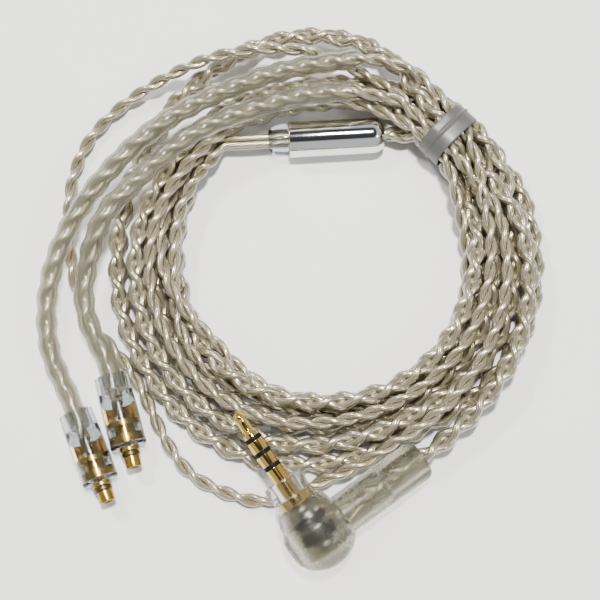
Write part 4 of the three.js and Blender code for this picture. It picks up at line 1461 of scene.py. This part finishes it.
@dataclass
class SplitterGroup:
    """The polished splitter barrel with its filling, and the clear chin slider beside it."""

    layout: Layout
    paint: Paintbox
    length: float = 14.5
    radius: float = 2.7
    wall: float = 0.5
    shoulder: float = 2.0
    end_wall: float = 1.5
    exit_radius: float = 1.575
    pair_bore: float = 1.3
    main_bore: float = 1.6
    slider_length: float = 2.95
    slider_radius: float = 2.5
    slider_bore: float = 1.25
    slider_gap: float = 0.1

    @property
    def inner(self) -> float:
        """Radius inside the barrel."""
        return self.radius - self.wall

    def barrel(self) -> None:
        """The barrel: a tube whose closed end is a quarter circle down to the main cord's hole."""
        half, bore = self.length / 2, self.exit_radius
        stop = math.acos((bore + 0.08 - self.radius + self.shoulder) / self.shoulder)
        angle = np.linspace(0.0, stop, 20)
        arc_x = half - self.shoulder * (1 - np.sin(angle))
        arc = np.stack([arc_x, self.radius - self.shoulder * (1 - np.cos(angle))], axis=1)
        outside = rounded(
            [(-half, self.inner, 0.0), (-half, self.radius, 0.15), (arc[0, 0] - 0.5, self.radius, 0.0)],
        )
        end_wall = half - self.end_wall
        inside = np.array([[arc[-1, 0] - 0.1, bore], [end_wall, bore], [end_wall, self.inner]])
        surface = revolve(np.concatenate([outside[:-1], arc, inside]), self.layout.splitter, True, 96)
        place_piece(
            make_piece("splitter_barrel_polished", [surface], self.paint.chrome), "chrome", "splitter_barrel",
        )

    def filling(self) -> None:
        """The hidden filling, narrower round the upper cords than round the main one."""
        start, stop, outer = 0.4 - self.length / 2, self.length / 2 - self.end_wall - 0.05, self.inner - 0.05
        turned_piece("splitter_filling", [
            (start, self.pair_bore, 0.1), (start, outer, 0.3), (stop, outer, 0.1),
            (stop, self.main_bore, 0.1), (0.0, self.main_bore, 0.1), (0.0, self.pair_bore, 0.1),
        ], self.layout.splitter, self.paint.core, "dark_core", "splitter_core", sides=48)

    def slider(self) -> None:
        """The clear ring that slides on the upper cords, tapered away from the barrel."""
        stop, radius = -self.length / 2 - self.slider_gap, self.slider_radius
        start, place = stop - self.slider_length, self.layout.splitter
        turned_piece("chin_slider_clear", [
            (start, self.slider_bore, 0.1), (start, radius - 0.75, 0.25), (start + 1.3, radius - 0.05, 0.4),
            (stop, radius, 0.25), (stop, self.slider_bore, 0.2),
        ], place, self.paint.smoky, "clear_plastic", "chin_slider", sides=80, steps=8, body=SLIDER)

    def build(self) -> None:
        """Builds the barrel, its filling and the slider."""
        self.barrel()
        self.filling()
        self.slider()


@dataclass
class TwistTie:
    """A flat plastic strip round the bundle, with a wire ridge along it and its ends twisted below."""

    layout: Layout
    paint: Paintbox
    radius_from_middle: float = 25.95
    inner_width: float = 8.4
    inner_height: float = 7.2
    corner: float = 3.3
    strip_width: float = 3.7
    thickness: float = 0.22
    ridge: float = 0.24
    ridge_width: float = 0.32
    ridge_offset: float = 0.3
    axis_height: float = 4.9
    tail_length: float = 8.4
    tail_pitch: float = 3.2
    tail_radius: float = 0.3

    def place(self) -> Place:
        """Its +X along the bundle and +Y towards the coil's middle.

        Returns:
            The place.
        """
        angle = self.layout.tie_angle
        origin = self.layout.shift + self.radius_from_middle * np.array(
            [math.cos(angle), math.sin(angle), 0.0],
        )
        return Place(origin, turn("z", angle + math.pi / 2))

    def loop(self) -> Array:
        """The strip's middle line round the bundle, a rectangle with round corners.

        Returns:
            Rows of a point (y, z) and the direction outward (y, z).
        """
        half_y, half_z = self.inner_width / 2 - self.corner, self.inner_height / 2 - self.corner
        angle = full_circle(120)
        radius = self.corner + self.thickness / 2
        y = half_y * np.tanh(6 * np.cos(angle)) + radius * np.cos(angle)
        z = half_z * np.tanh(6 * np.sin(angle)) + radius * np.sin(angle)
        return np.stack([y, z, np.cos(angle), np.sin(angle)], axis=1)

    def band(self) -> Patch:
        """The strip: a flat section with a round ridge, carried round the loop with slight waves.

        Returns:
            The surface as a patch.
        """
        half, thick = self.strip_width / 2, self.thickness / 2
        x = np.linspace(-half, half, 41)
        outer = thick + self.ridge * np.exp(-(((x - self.ridge_offset) / self.ridge_width) ** 2) * 2.0)
        edge = np.sqrt(np.clip(1.0 - (np.abs(x) / half) ** 24, 0.0, 1.0))
        section_x = np.concatenate([x, x[::-1]])
        section_h = np.concatenate([outer * edge, -thick * edge[::-1]])
        loop = self.loop()
        around = full_circle(len(loop))
        wave = 0.05 * np.sin(5 * around) + 0.03 * np.sin(11 * around + 1.0)
        lift = section_h[None, :] + wave[:, None] * (section_x[None, :] / half)
        sway = 0.12 * np.sin(2 * around + 0.6)
        local = np.stack([
            section_x[None, :] + sway[:, None],
            loop[:, :1] + loop[:, 2:3] * lift,
            self.axis_height + loop[:, 1:2] + loop[:, 3:4] * lift,
        ], axis=-1)
        return Patch(self.place().put(local), ring=True)

    def tails(self) -> list[Patch]:
        """The two ends, twisted round each other flat under the bundle, as a two-start screw.

        Returns:
            Two wires.
        """
        along = np.linspace(0.0, self.tail_length, 90)
        patches = []
        for start in (0.0, math.pi):
            angle = 2 * math.pi * along / self.tail_pitch + start
            line = np.stack([along - 1.0, 0.32 * np.cos(angle), 0.6 + 0.22 * np.sin(angle)], axis=1)
            patches.append(wire_along(self.place().put(line), self.tail_radius, 12))
        return patches

    def build(self) -> None:
        """Builds the tie."""
        piece = make_piece("twist_tie_strip", [self.band(), *self.tails()], self.paint.tie, 50)
        place_piece(piece, "tie_plastic", "twist_tie")


# -------------------- ear guides and connectors


@dataclass
class Connector:
    """One ear connector: clear shell, gold contact with its nose, spring ring, pin, leads and sleeve."""

    layout: Layout
    paint: Paintbox
    side: str
    guide_length: float
    guide_half_width: float = 1.62
    guide_half_height: float = 1.36
    guide_bore_share: float = 0.8
    guide_end_radius: Pair = (1.5, 1.45)
    seat_depth: float = 2.6
    seat_radius: float = 1.7
    wall: float = 0.5
    lip_length: float = 0.55
    taper: float = 0.2
    flange_radius: float = 1.45
    cup_start: float = 4.6
    cup_length: float = 2.7
    cup_wall: float = 0.35
    groove_radius: float = 0.95
    nose_radius: float = 1.1
    nose_length: float = 2.9
    socket_radius: float = 0.75
    waist_depth: float = 0.85
    strands: int = 7
    strand_radius: float = 0.075

    @property
    def place(self) -> Place:
        """Where the connector lies."""
        return self.layout.connectors[self.side]

    @property
    def cup_bottom(self) -> float:
        """Distance below the axis at which solder lies in the cup."""
        return self.body_radius - self.cup_wall - 0.25

    @property
    def body_radius(self) -> float:
        """Radius of the gold body inside the shell."""
        return self.layout.shell_radius - 0.3

    @property
    def cup_floor(self) -> float:
        """Where the solder cup ends and the solid body starts."""
        return self.cup_start + self.cup_length

    def named(self, piece: str) -> str:
        """A piece's name with its side in front."""
        return f"{self.side}_{piece}"

    def shell(self) -> Piece:
        """The clear moulded shell.

        Returns:
            The piece.
        """
        length, front = self.layout.shell_length, self.layout.shell_radius
        rear, mouth, lip = front - self.taper, self.flange_radius + 0.05, length - self.lip_length
        inner = self.body_radius + 0.05
        return turned_piece(self.named("shell_clear"), [
            (0.0, self.seat_radius, 0.1), (0.0, rear, 0.75), (0.62 * length, front, 1.5),
            (length, front, 0.55), (length, mouth, 0.05), (lip, mouth, 0.02), (lip, inner, 0.15),
            (self.cup_start - 0.6, inner, 0.6), (self.seat_depth, rear - self.wall, 0.4),
            (self.seat_depth, self.seat_radius, 0.1),
        ], self.place, self.paint.smoky, "clear_plastic", self.named("connector_shell"), sides=80, steps=8)

    def contact(self) -> Piece:
        """The gold body: open solder cup, deep waist, flange, groove and nose.

        Returns:
            The piece.
        """
        end, body, floor = self.layout.shell_length, self.body_radius, self.cup_floor
        lip, tip = end - self.lip_length - 0.05, end + self.nose_length
        waist, groove = body - self.waist_depth, self.groove_radius
        flange, nose = self.flange_radius, self.nose_radius
        turned = rounded([
            (floor - 0.3, self.socket_radius, 0.0), (floor - 0.3, body, 0.06), (floor + 0.5, body, 0.05),
            (floor + 0.5, waist, 0.08), (floor + 1.7, waist, 0.08), (floor + 1.7, body, 0.05),
            (lip, body, 0.08), (lip, flange, 0.05), (end + 0.5, flange, 0.1), (end + 0.5, groove, 0.04),
            (end + 1.25, groove, 0.04), (end + 1.25, nose + 0.05, 0.08), (tip, nose, 0.25),
            (tip, self.socket_radius, 0.08),
        ], closed=True)
        start, stop, bore = self.cup_start, floor - 0.25, body - self.cup_wall
        cup = rounded(
            [(start, bore, 0.08), (start, body, 0.08), (stop, body, 0.05), (stop, bore, 0.05)], closed=True,
        )
        opened = revolve_part(cup, self.place, math.radians(166), math.radians(374), 56)
        patches = [revolve(turned, self.place, True, 72), opened]
        piece = make_piece(self.named("contact_gold"), patches, self.paint.satin_gold)
        return place_piece(piece, "gold", self.named("outer_contact"))

    def spring_ring(self) -> Piece:
        """The split spring ring in the nose's groove: a square wire with rounded edges.

        Returns:
            The piece.
        """
        start = self.layout.shell_length + 0.6
        stop, inner, outer = start + 0.55, 1.0, 1.28
        section = rounded(
            [(start, inner, 0.1), (start, outer, 0.12), (stop, outer, 0.12), (stop, inner, 0.1)], closed=True,
        )
        patch = revolve_part(section, self.place, math.radians(12), math.radians(348), 60)
        piece = make_piece(self.named("spring_ring"), [patch], self.paint.steel)
        return place_piece(piece, "steel", self.named("snap_ring"))

    def inside(self) -> list[Piece]:
        """The nose's insulator and centre pin with its solder pot.

        Returns:
            The pieces.
        """
        floor, end = self.cup_floor, self.layout.shell_length + self.nose_length
        pot = floor - 1.05
        return [
            turned_piece(self.named("nose_liner"), [
                (floor, 0.27, 0.0), (floor, 0.7, 0.05), (end - 0.6, 0.7, 0.05), (end - 0.6, 0.27, 0.05),
            ], self.place, self.paint.white, "white_plastic", self.named("nose_insulator"), sides=40),
            turned_piece(self.named("pin_gold"), [
                (pot, 0.4, 0.0), (pot + 0.02, 0.42, 0.02), (floor - 0.05, 0.42, 0.05),
                (floor - 0.05, 0.22, 0.02), (end - 0.45, 0.22, 0.1), (end - 0.3, 0.1, 0.0),
            ], self.place, self.paint.gold, "gold", self.named("centre_pin"), ring=False, sides=40),
        ]

    def leads(self) -> list[Piece]:
        """The stripped strands that fan out from the cord's wires to the pin and the cup.

        Returns:
            The pieces.
        """
        bottom = self.cup_bottom
        targets = {
            "signal_lead": (np.array([self.cup_floor - 1.3, 0.0, 0.1]), 0.475),
            "return_lead": (np.array([self.cup_floor - 0.9, -0.45 * bottom, -0.85 * bottom]), -0.475),
        }
        made = []
        for name, (target, start_y) in targets.items():
            patches = []
            for k in range(self.strands):
                angle = 2 * math.pi * k / self.strands
                spread = np.array([0.0, math.cos(angle), math.sin(angle)])
                between = 0.45 * np.array([4.6, start_y, 0.3]) + 0.55 * np.array([4.6, target[1], target[2]])
                knots = np.array([
                    np.array([3.0, start_y, 0.0]) + 0.2 * spread,
                    np.array([3.8, start_y, 0.1]) + 0.34 * spread,
                    between + 0.3 * spread, target + 0.1 * spread,
                ])
                patches.append(wire_along(self.place.put(smooth_curve(knots, 0.12)), self.strand_radius, 8))
            piece = make_piece(self.named(f"{name}_strands"), patches, self.paint.strand, 60)
            made.append(place_piece(piece, "tinned_metal", self.named(name)))
        return made

    def solder(self) -> list[Piece]:
        """Solder on the cup and pin, and dark flux beside it: lumpy drops, each a sphere with waves.

        Returns:
            The pieces.
        """
        floor, bottom = self.cup_floor, self.cup_bottom
        solder = [((floor - 0.95, -0.45 * bottom, -0.8 * bottom), 0.45), ((floor - 1.15, 0.0, 0.05), 0.4)]
        flux = [
            ((4.3, 0.5, 0.62), 0.26), ((floor - 1.75, 0.62, 0.42), 0.3), ((floor - 0.75, -0.35, 0.52), 0.22)
        ]
        drops = [("solder_drops", self.paint.tinned, solder), ("flux_spots", self.paint.flux, flux)]
        made = []
        for name, material, spots in drops:
            patches = [self.lump(np.array(centre), size) for centre, size in spots]
            made.append(place_piece(make_piece(self.named(name), patches, material, 80), "tinned_metal"))
        return made

    def lump(self, centre: Array, size: float) -> Patch:
        """A drop: radius = size x (1 + small waves in both angles), open poles capped.

        Args:
            centre: its middle.
            size: its mean radius.

        Returns:
            The surface as a patch.
        """
        polar = np.linspace(0.12, math.pi - 0.12, 18)[:, None]
        around = full_circle(24)[None, :]
        radius = size * (1 + 0.14 * np.sin(3 * around + 2 * polar) + 0.1 * np.cos(5 * polar))
        along, out = 1.25 * radius * np.cos(polar), radius * np.sin(polar)
        local = np.stack([along + 0 * around, out * np.cos(around), out * np.sin(around)], axis=-1)
        return Patch(self.place.put(local + centre))

    def guide(self, cords: Cords) -> Piece:
        """The shrunk sleeve: an oval that turns with the pair inside it, as a closed thin tube.

        At each point the section is an ellipse, long across the two wires. The inner wall is the
        same ellipse smaller, and the sleeve turns round at its ends.

        Args:
            cords: the cords, for the pair's line.

        Returns:
            The piece.
        """
        line, angle = cords.guide_line(self.side, self.guide_length)
        along = lengths_along(line)
        _, side, up = level_frames(line)
        around = full_circle(28)[None, :]
        into_shell = step_between(along[-1] - along, 1.5, 9.0)[:, None]
        mouth = (1.0 - step_between(along, 0.0, 2.0))[:, None]

        def wall(long: float, short: float) -> Array:
            """Points of one wall; it closes in to fit the shell.

            Args:
                long: half width across the two wires.
                short: half width the other way.

            Returns:
                Points, rows by columns.
            """
            end_a, end_b = self.guide_end_radius
            a = end_a + (long - end_a) * into_shell + 0.05 * mouth
            b = end_b + (short - end_b) * into_shell + 0.2 * mouth
            x, y = a * np.cos(around), b * np.sin(around)
            turn_c, turn_s = np.cos(angle)[:, None], np.sin(angle)[:, None]
            across, rise = x * turn_c - y * turn_s, x * turn_s + y * turn_c
            return line[:, None] + across[..., None] * side[:, None] + rise[..., None] * up[:, None]

        outer = wall(self.guide_half_width, self.guide_half_height)
        middle = line[:, None]
        inner = middle + (outer - middle) * self.guide_bore_share
        patch = Patch(np.concatenate([outer, inner[::-1]]), ring=True)
        piece = make_piece(self.named("guide_sleeve"), [patch], self.paint.sleeve, 60)
        return place_piece(piece, "sleeve", self.named("ear_guide"))

    def build(self, cords: Cords) -> list[Piece]:
        """Builds the connector and its guide, and gives back the pieces that are on the cord.

        Args:
            cords: the cords, for the guide.

        Returns:
            The pieces.
        """
        shell, contact, ring = self.shell(), self.contact(), self.spring_ring()
        inner = [*self.inside(), *self.leads(), *self.solder()]
        return [shell, contact, ring, *inner, self.guide(cords)]


# -------------------- plug


@dataclass
class Plug:
    """The right-angle plug: milky housing, clear collar, gold jack with black rings, and its inside."""

    layout: Layout
    paint: Paintbox
    knob_radius: float = 4.9
    knob_front: float = 5.0
    knob_back: float = 5.1
    barrel_radius: float = 3.0
    barrel_end: float = 18.3
    cord_start: float = 11.7
    collar_start: float = 5.05
    collar_radius: float = 2.95
    jack_radius: float = 1.25
    jack_length: float = 11.2
    core_radius: float = 0.85
    disc_radius: float = 2.6
    tip_length: float = 4.0
    gap: float = 0.025
    insulator_length: float = 0.575
    ring_length: float = 1.675

    @property
    def jack(self) -> Place:
        """The plug's place with +X along the jack."""
        return self.layout.plug.along_y()

    @property
    def jack_end(self) -> float:
        """Where the tip ends along the jack."""
        return self.layout.collar_end + self.jack_length

    def housing(self) -> Piece:
        """Knob and barrel as one moulding with its hollow cut out.

        Returns:
            The piece.
        """
        knob = np.concatenate([
            dome(-1.0, self.knob_radius, self.knob_back - 1.0, 0.05, 26)[:-1],
            rounded([
                (-1.0, self.knob_radius, 0.0), (1.5, self.knob_radius, 0.9), (2.5, 4.15, 0.5),
                (3.9, 4.0, 0.7), (self.knob_front, 3.2, 0.3), (self.knob_front, 2.2, 0.0),
            ]),
        ])
        barrel = rounded(
            [
                (0.0, self.barrel_radius, 0.0), (self.barrel_end, self.barrel_radius, 1.2),
                (self.barrel_end, 0.6, 0.0),
            ],
            steps=12,
        )
        hollow = rounded([
            (-2.9, 0.5, 0.0), (-2.9, 3.3, 0.7), (2.8, 3.3, 0.6), (4.4, 2.6, 0.4), (4.4, 2.0, 0.1),
            (6.0, 2.0, 0.0),
        ])
        bore = rounded(
            [
                (0.0, 2.0, 0.0), (self.cord_start - 0.3, 2.0, 0.4), (self.cord_start, 1.6, 0.2),
                (self.barrel_end + 1, 1.6, 0.0),
            ],
        )
        shapes = {
            "housing_milky": revolve(knob, self.jack, False, 96),
            "barrel": revolve(barrel, self.layout.plug, False, 72),
            "hollow": revolve(hollow, self.jack, False, 72),
            "bore": revolve(bore, self.layout.plug, False, 64),
        }
        base, *tools = [make_piece(name, [shape], self.paint.milky) for name, shape in shapes.items()]
        combine(base, list(zip(("UNION", "DIFFERENCE", "DIFFERENCE"), tools)))
        return place_piece(base, "milky_plastic", "plug_housing")

    def collar(self) -> Piece:
        """The clear collar round the jack's foot.

        Returns:
            The piece.
        """
        start, end, flange_end = self.collar_start, self.layout.collar_end, self.collar_start + 1.3
        outer, seat, bore = self.collar_radius, self.collar_radius - 0.2, self.jack_radius + 0.05
        return turned_piece("collar_clear", [
            (start, seat, 0.05), (start, outer, 0.1), (end, outer, 0.35), (end, bore, 0.05),
            (flange_end, bore, 0.05), (flange_end, seat, 0.1),
        ], self.jack, self.paint.clear, "clear_plastic", "plug_collar", sides=80, steps=8)

    def tip(self) -> Piece:
        """The tip: cone, head, waist and shoulder, on a thin rod through the core.

        Returns:
            The piece.
        """
        end, start = self.jack_end, self.jack_end - self.tip_length
        return turned_piece("tip_gold", [
            (-1.9, 0.26, 0.0), (-1.85, 0.3, 0.05), (start, 0.3, 0.02), (start, 1.22, 0.06),
            (start + 0.62, 1.12, 0.15), (start + 1.05, 0.82, 0.3), (end - 1.55, 0.8, 0.35),
            (end - 0.95, 1.02, 0.25), (end - 0.6, 0.98, 0.15), (end, 0.42, 0.2), (end, 0.1, 0.0),
        ], self.jack, self.paint.gold, "gold", "plug_tip", ring=False, steps=8)

    def band(
        self, name: str, node: str, start: float, stop: float, material: Material, slot: str,
        proud: float = 0.0,
    ) -> Piece:
        """A short tube on the jack, its edges just broken.

        Args:
            name: the piece's name.
            node: the solid it stands for.
            start: where it starts along the jack.
            stop: where it stops.
            material: its material.
            slot: the record's material slot.
            proud: how far it stands out.

        Returns:
            The piece.
        """
        inner, outer = self.core_radius + 0.05, self.jack_radius + proud
        corners = [(start, inner, 0.0), (start, outer, 0.06), (stop, outer, 0.06), (stop, inner, 0.0)]
        return turned_piece(name, corners, self.jack, material, slot, node)

    def sleeve(self, end: float) -> Piece:
        """The gold sleeve with its flange inside the collar and its tail in the housing.

        Args:
            end: where it ends along the jack.

        Returns:
            The piece.
        """
        start, bore, tail = self.collar_start + 0.05, 0.9, 1.5
        flange_end, flange, jack = start + 1.2, self.collar_radius - 0.25, self.jack_radius
        return turned_piece("sleeve_gold", [
            (start - 0.8, bore, 0.0), (start - 0.8, tail, 0.1), (start, tail, 0.05), (start, flange, 0.1),
            (flange_end, flange, 0.15), (flange_end, jack, 0.1), (end, jack, 0.06), (end, bore, 0.0),
        ], self.jack, self.paint.gold, "gold", "plug_sleeve", sides=72)

    def jack_stack(self) -> list[Piece]:
        """Black and gold rings in turn from the tip back, then the sleeve.

        Returns:
            The pieces.
        """
        made, front = [], self.jack_end - self.tip_length - self.gap
        for k in (1, 2, 3):
            back = front - self.insulator_length
            name, node = f"insulating_ring_{k}", f"plug_insulator_{k}"
            made.append(self.band(name, node, back, front, self.paint.black, "black_plastic", -0.015))
            front = back - self.gap
            if k < 3:
                back = front - self.ring_length
                name, node = f"contact_ring_{k}", f"plug_ring_{k}"
                made.append(self.band(name, node, back, front, self.paint.gold, "gold"))
                front = back - self.gap
        return [*made, self.sleeve(front)]

    def core(self) -> Piece:
        """The dark core with two discs that shows through the housing.

        Returns:
            The piece.
        """
        r, d, bore, top = self.core_radius, self.disc_radius, 0.35, self.jack_end - self.tip_length - 0.05
        return turned_piece("core_dark", [
            (-0.85, bore, 0.0), (-0.85, d, 0.2), (0.55, d, 0.2), (0.55, r, 0.1), (1.2, r, 0.1), (1.2, d, 0.2),
            (2.6, d, 0.2), (2.6, r, 0.1), (top, r, 0.0), (top, bore, 0.0),
        ], self.jack, self.paint.core, "dark_core", "plug_core", sides=56)

    def lugs_and_wires(self) -> list[Piece]:
        """The four solder lugs, each a washer with a tab, and the wire ends on them.

        Returns:
            The pieces.
        """
        table = {
            "tip": (-1.75, 2.6, 0.0, -1.25), "ring_1": (0.6, 2.6, 0.0, 0.35),
            "ring_2": (2.85, 2.0, 0.35, 1.25), "sleeve": (3.8, 1.9, -0.35, 1.25),
        }
        made = []
        for index, (name, (at, reach, turned, lane)) in enumerate(table.items()):
            tab = at + 0.2
            made.append(self.lug(name, at, reach, turned))
            y, z = (-0.475 if index < 2 else 0.475), (-0.475 if index % 2 else 0.475)
            out = np.array([math.cos(turned), 0.0, math.sin(turned)])
            knots = np.array([
                (7.6, y, z), (6.9, y, z), (5.4, (y + lane) / 2, z), (3.6, lane, z),
                (reach + 0.6) * out + (0.0, (lane + tab) / 2, 0.0), (reach + 0.45) * out + (0.0, tab, 0.0),
                (reach + 0.05) * out + (0.0, tab, 0.0),
            ])
            line = self.layout.plug.put(smooth_curve(knots, 0.2))
            wire = make_piece(f"wire_end_{name}", [wire_along(line, 0.35, 12)], self.paint.wire, 60)
            made.append(place_piece(wire, "cord", f"plug_wire_{name}"))
        return made

    def lug(self, name: str, at: float, reach: float, turned: float) -> Piece:
        """A solder lug: a washer on the jack's axis with a tapered flat tab.

        Args:
            name: which contact it belongs to.
            at: where its washer starts along the jack.
            reach: where its tab ends.
            turned: the tab's angle round the jack.

        Returns:
            The piece.
        """
        hole, outer, stop = (0.37 if name == "tip" else 0.92), 1.6, at + 0.4
        washer = rounded(
            [(at, hole, 0.0), (at, outer, 0.05), (stop, outer, 0.05), (stop, hole, 0.0)], closed=True,
        )
        place = Place(self.layout.plug.origin, self.layout.plug.axes @ turn("y", -turned))
        tab_x = np.array([1.3, reach - 0.15, reach, reach])[:, None]
        tab_w = np.array([0.5, 0.5, 0.42, 0.38])[:, None]
        across, thick = np.array([[1, 1], [-1, 1], [-1, -1], [1, -1]]).T
        local = np.stack([tab_x + 0 * across, at + 0.2 + 0.19 * thick + 0 * tab_x, tab_w * across], axis=-1)
        patches = [revolve(washer, self.jack, True, 40), Patch(place.put(local))]
        piece = make_piece(f"lug_{name}_tinned", patches, self.paint.tinned)
        return place_piece(piece, "tinned_metal", f"solder_lug_{name}")

    def build(self) -> list[Piece]:
        """Builds the plug and gives back its pieces."""
        return [
            self.housing(), self.collar(), self.tip(), *self.jack_stack(), self.core(), *self.lugs_and_wires()
        ]


# -------------------- stage


@dataclass(frozen=True)
class Lamp:
    """A soft square lamp: place and size in metres, power in watts."""

    name: str
    place: Triple
    size: float
    power: float
    colour: Triple


LAMPS = (
    Lamp("overhead", (0.03, 0.10, 0.66), 0.07, 9.6, (1.0, 0.98, 0.94)),
    Lamp("key", (-0.34, 0.34, 0.55), 0.10, 3.4, (1.0, 0.98, 0.95)),
    Lamp("fill", (0.50, -0.20, 0.50), 0.12, 1.3, (0.97, 0.98, 1.0)),
)


@dataclass
class Studio:
    """Camera, soft lamps, a pale floor and a bright room with a dark patch in its ceiling.

    The patch starts where a direction's upward share is patch_rim and is fully dark from patch_core.
    The camera's target and distance are in millimetres, and the floor's sizes in metres.
    """

    paint: Paintbox
    target: Triple = (5.9, 1.0, 3.0)
    distance: float = 206.0
    elevation: float = math.radians(77.0)
    field_of_view: float = math.radians(24.0)
    room: float = 0.70
    ceiling: float = 0.05
    patch_rim: float = 0.76
    patch_core: float = 0.88
    floor_side: float = 1.2
    floor_flat: float = 0.6
    floor_points: int = 49

    def camera(self) -> None:
        """The camera looks down on the coil from the plug's side."""
        data = bpy.data.cameras.new("camera")
        data.sensor_width, data.angle = 36.0, self.field_of_view
        data.clip_start, data.clip_end = 0.005, 10.0
        camera = bpy.data.objects.new("camera", data)
        bpy.context.scene.collection.objects.link(camera)
        target = Vector(self.target) * MM
        away = Vector((0.0, -math.cos(self.elevation), math.sin(self.elevation)))
        camera.location = target + away * self.distance * MM
        camera.rotation_euler = (-away).to_track_quat("-Z", "Y").to_euler()
        bpy.context.scene.camera = camera

    def hang(self, lamp: Lamp) -> None:
        """Makes a lamp and aims it at the coil.

        Args:
            lamp: the lamp.
        """
        data = bpy.data.lights.new(lamp.name, "AREA")
        data.shape, data.size, data.energy, data.color = "SQUARE", lamp.size, lamp.power, lamp.colour
        light = bpy.data.objects.new(lamp.name, data)
        bpy.context.scene.collection.objects.link(light)
        light.location = lamp.place
        aim = Vector(self.target) * MM - Vector(lamp.place)
        light.rotation_euler = aim.to_track_quat("-Z", "Y").to_euler()

    def floor(self) -> None:
        """A wide pale floor that rises gently far away: height = 0.6 x (distance beyond the flat) squared."""
        n = self.floor_points
        side = np.linspace(-self.floor_side, self.floor_side, n)
        x, y = np.meshgrid(side, side, indexing="ij")
        rise = 0.6 * np.maximum(np.hypot(x, y) - self.floor_flat, 0.0) ** 2
        points = np.stack([x, y, rise], axis=-1).reshape(-1, 3)
        i, j = np.meshgrid(np.arange(n - 1), np.arange(n - 1), indexing="ij")
        first = i * n + j
        faces = np.stack([first, first + n, first + n + 1, first + 1], axis=-1).reshape(-1, 4)
        mesh = bpy.data.meshes.new("floor")
        mesh.from_pydata(points.tolist(), [], faces.tolist())
        mesh.shade_smooth()
        mesh.materials.append(self.paint.floor)
        floor = bpy.data.objects.new("floor", mesh)
        bpy.context.scene.collection.objects.link(floor)

    def world(self) -> None:
        """A bright room with a dark ceiling patch: strength falls where the direction is near straight up."""
        world = bpy.data.worlds.new("studio")
        world.use_nodes = True
        web = Web(world.node_tree)
        parts = web.add("ShaderNodeSeparateXYZ")
        web.feed(parts.inputs[0], web.add("ShaderNodeTexCoord").outputs["Generated"])
        ceiling = web.add("ShaderNodeMapRange", interpolation_type="SMOOTHSTEP")
        settings = {
            "Value": parts.outputs[2], "From Min": self.patch_rim, "From Max": self.patch_core,
            "To Min": self.room, "To Max": self.ceiling,
        }
        for name, value in settings.items():
            web.feed(ceiling.inputs[name], value)
        back = web.add("ShaderNodeBackground")
        back.inputs["Color"].default_value = (0.95, 0.97, 1.0, 1.0)
        web.feed(back.inputs["Strength"], ceiling.outputs["Result"])
        web.feed(web.add("ShaderNodeOutputWorld").inputs["Surface"], back.outputs[0])
        bpy.context.scene.world = world

    def build(self) -> None:
        """Builds the studio."""
        self.camera()
        self.floor()
        self.world()
        for lamp in LAMPS:
            self.hang(lamp)


def write_size() -> None:
    """Updates the view layer.
    """
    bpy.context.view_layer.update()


def main() -> None:
    """Builds the studio, then the cable from the coil outwards."""
    logging.basicConfig(level=logging.INFO, format="%(name)s %(message)s")
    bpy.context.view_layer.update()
    paint = Paintbox()
    Studio(paint).build()
    layout = Layout()
    cords = Cords(layout, paint)
    SplitterGroup(layout, paint).build()
    TwistTie(layout, paint).build()
    plug = Plug(layout, paint).build()
    connectors = {
        "left": Connector(layout, paint, "left", 82.0).build(cords),
        "right": Connector(layout, paint, "right", 69.0).build(cords),
    }
    cords.build(plug, connectors)
    write_size()


if __name__ == "__main__":
    main()
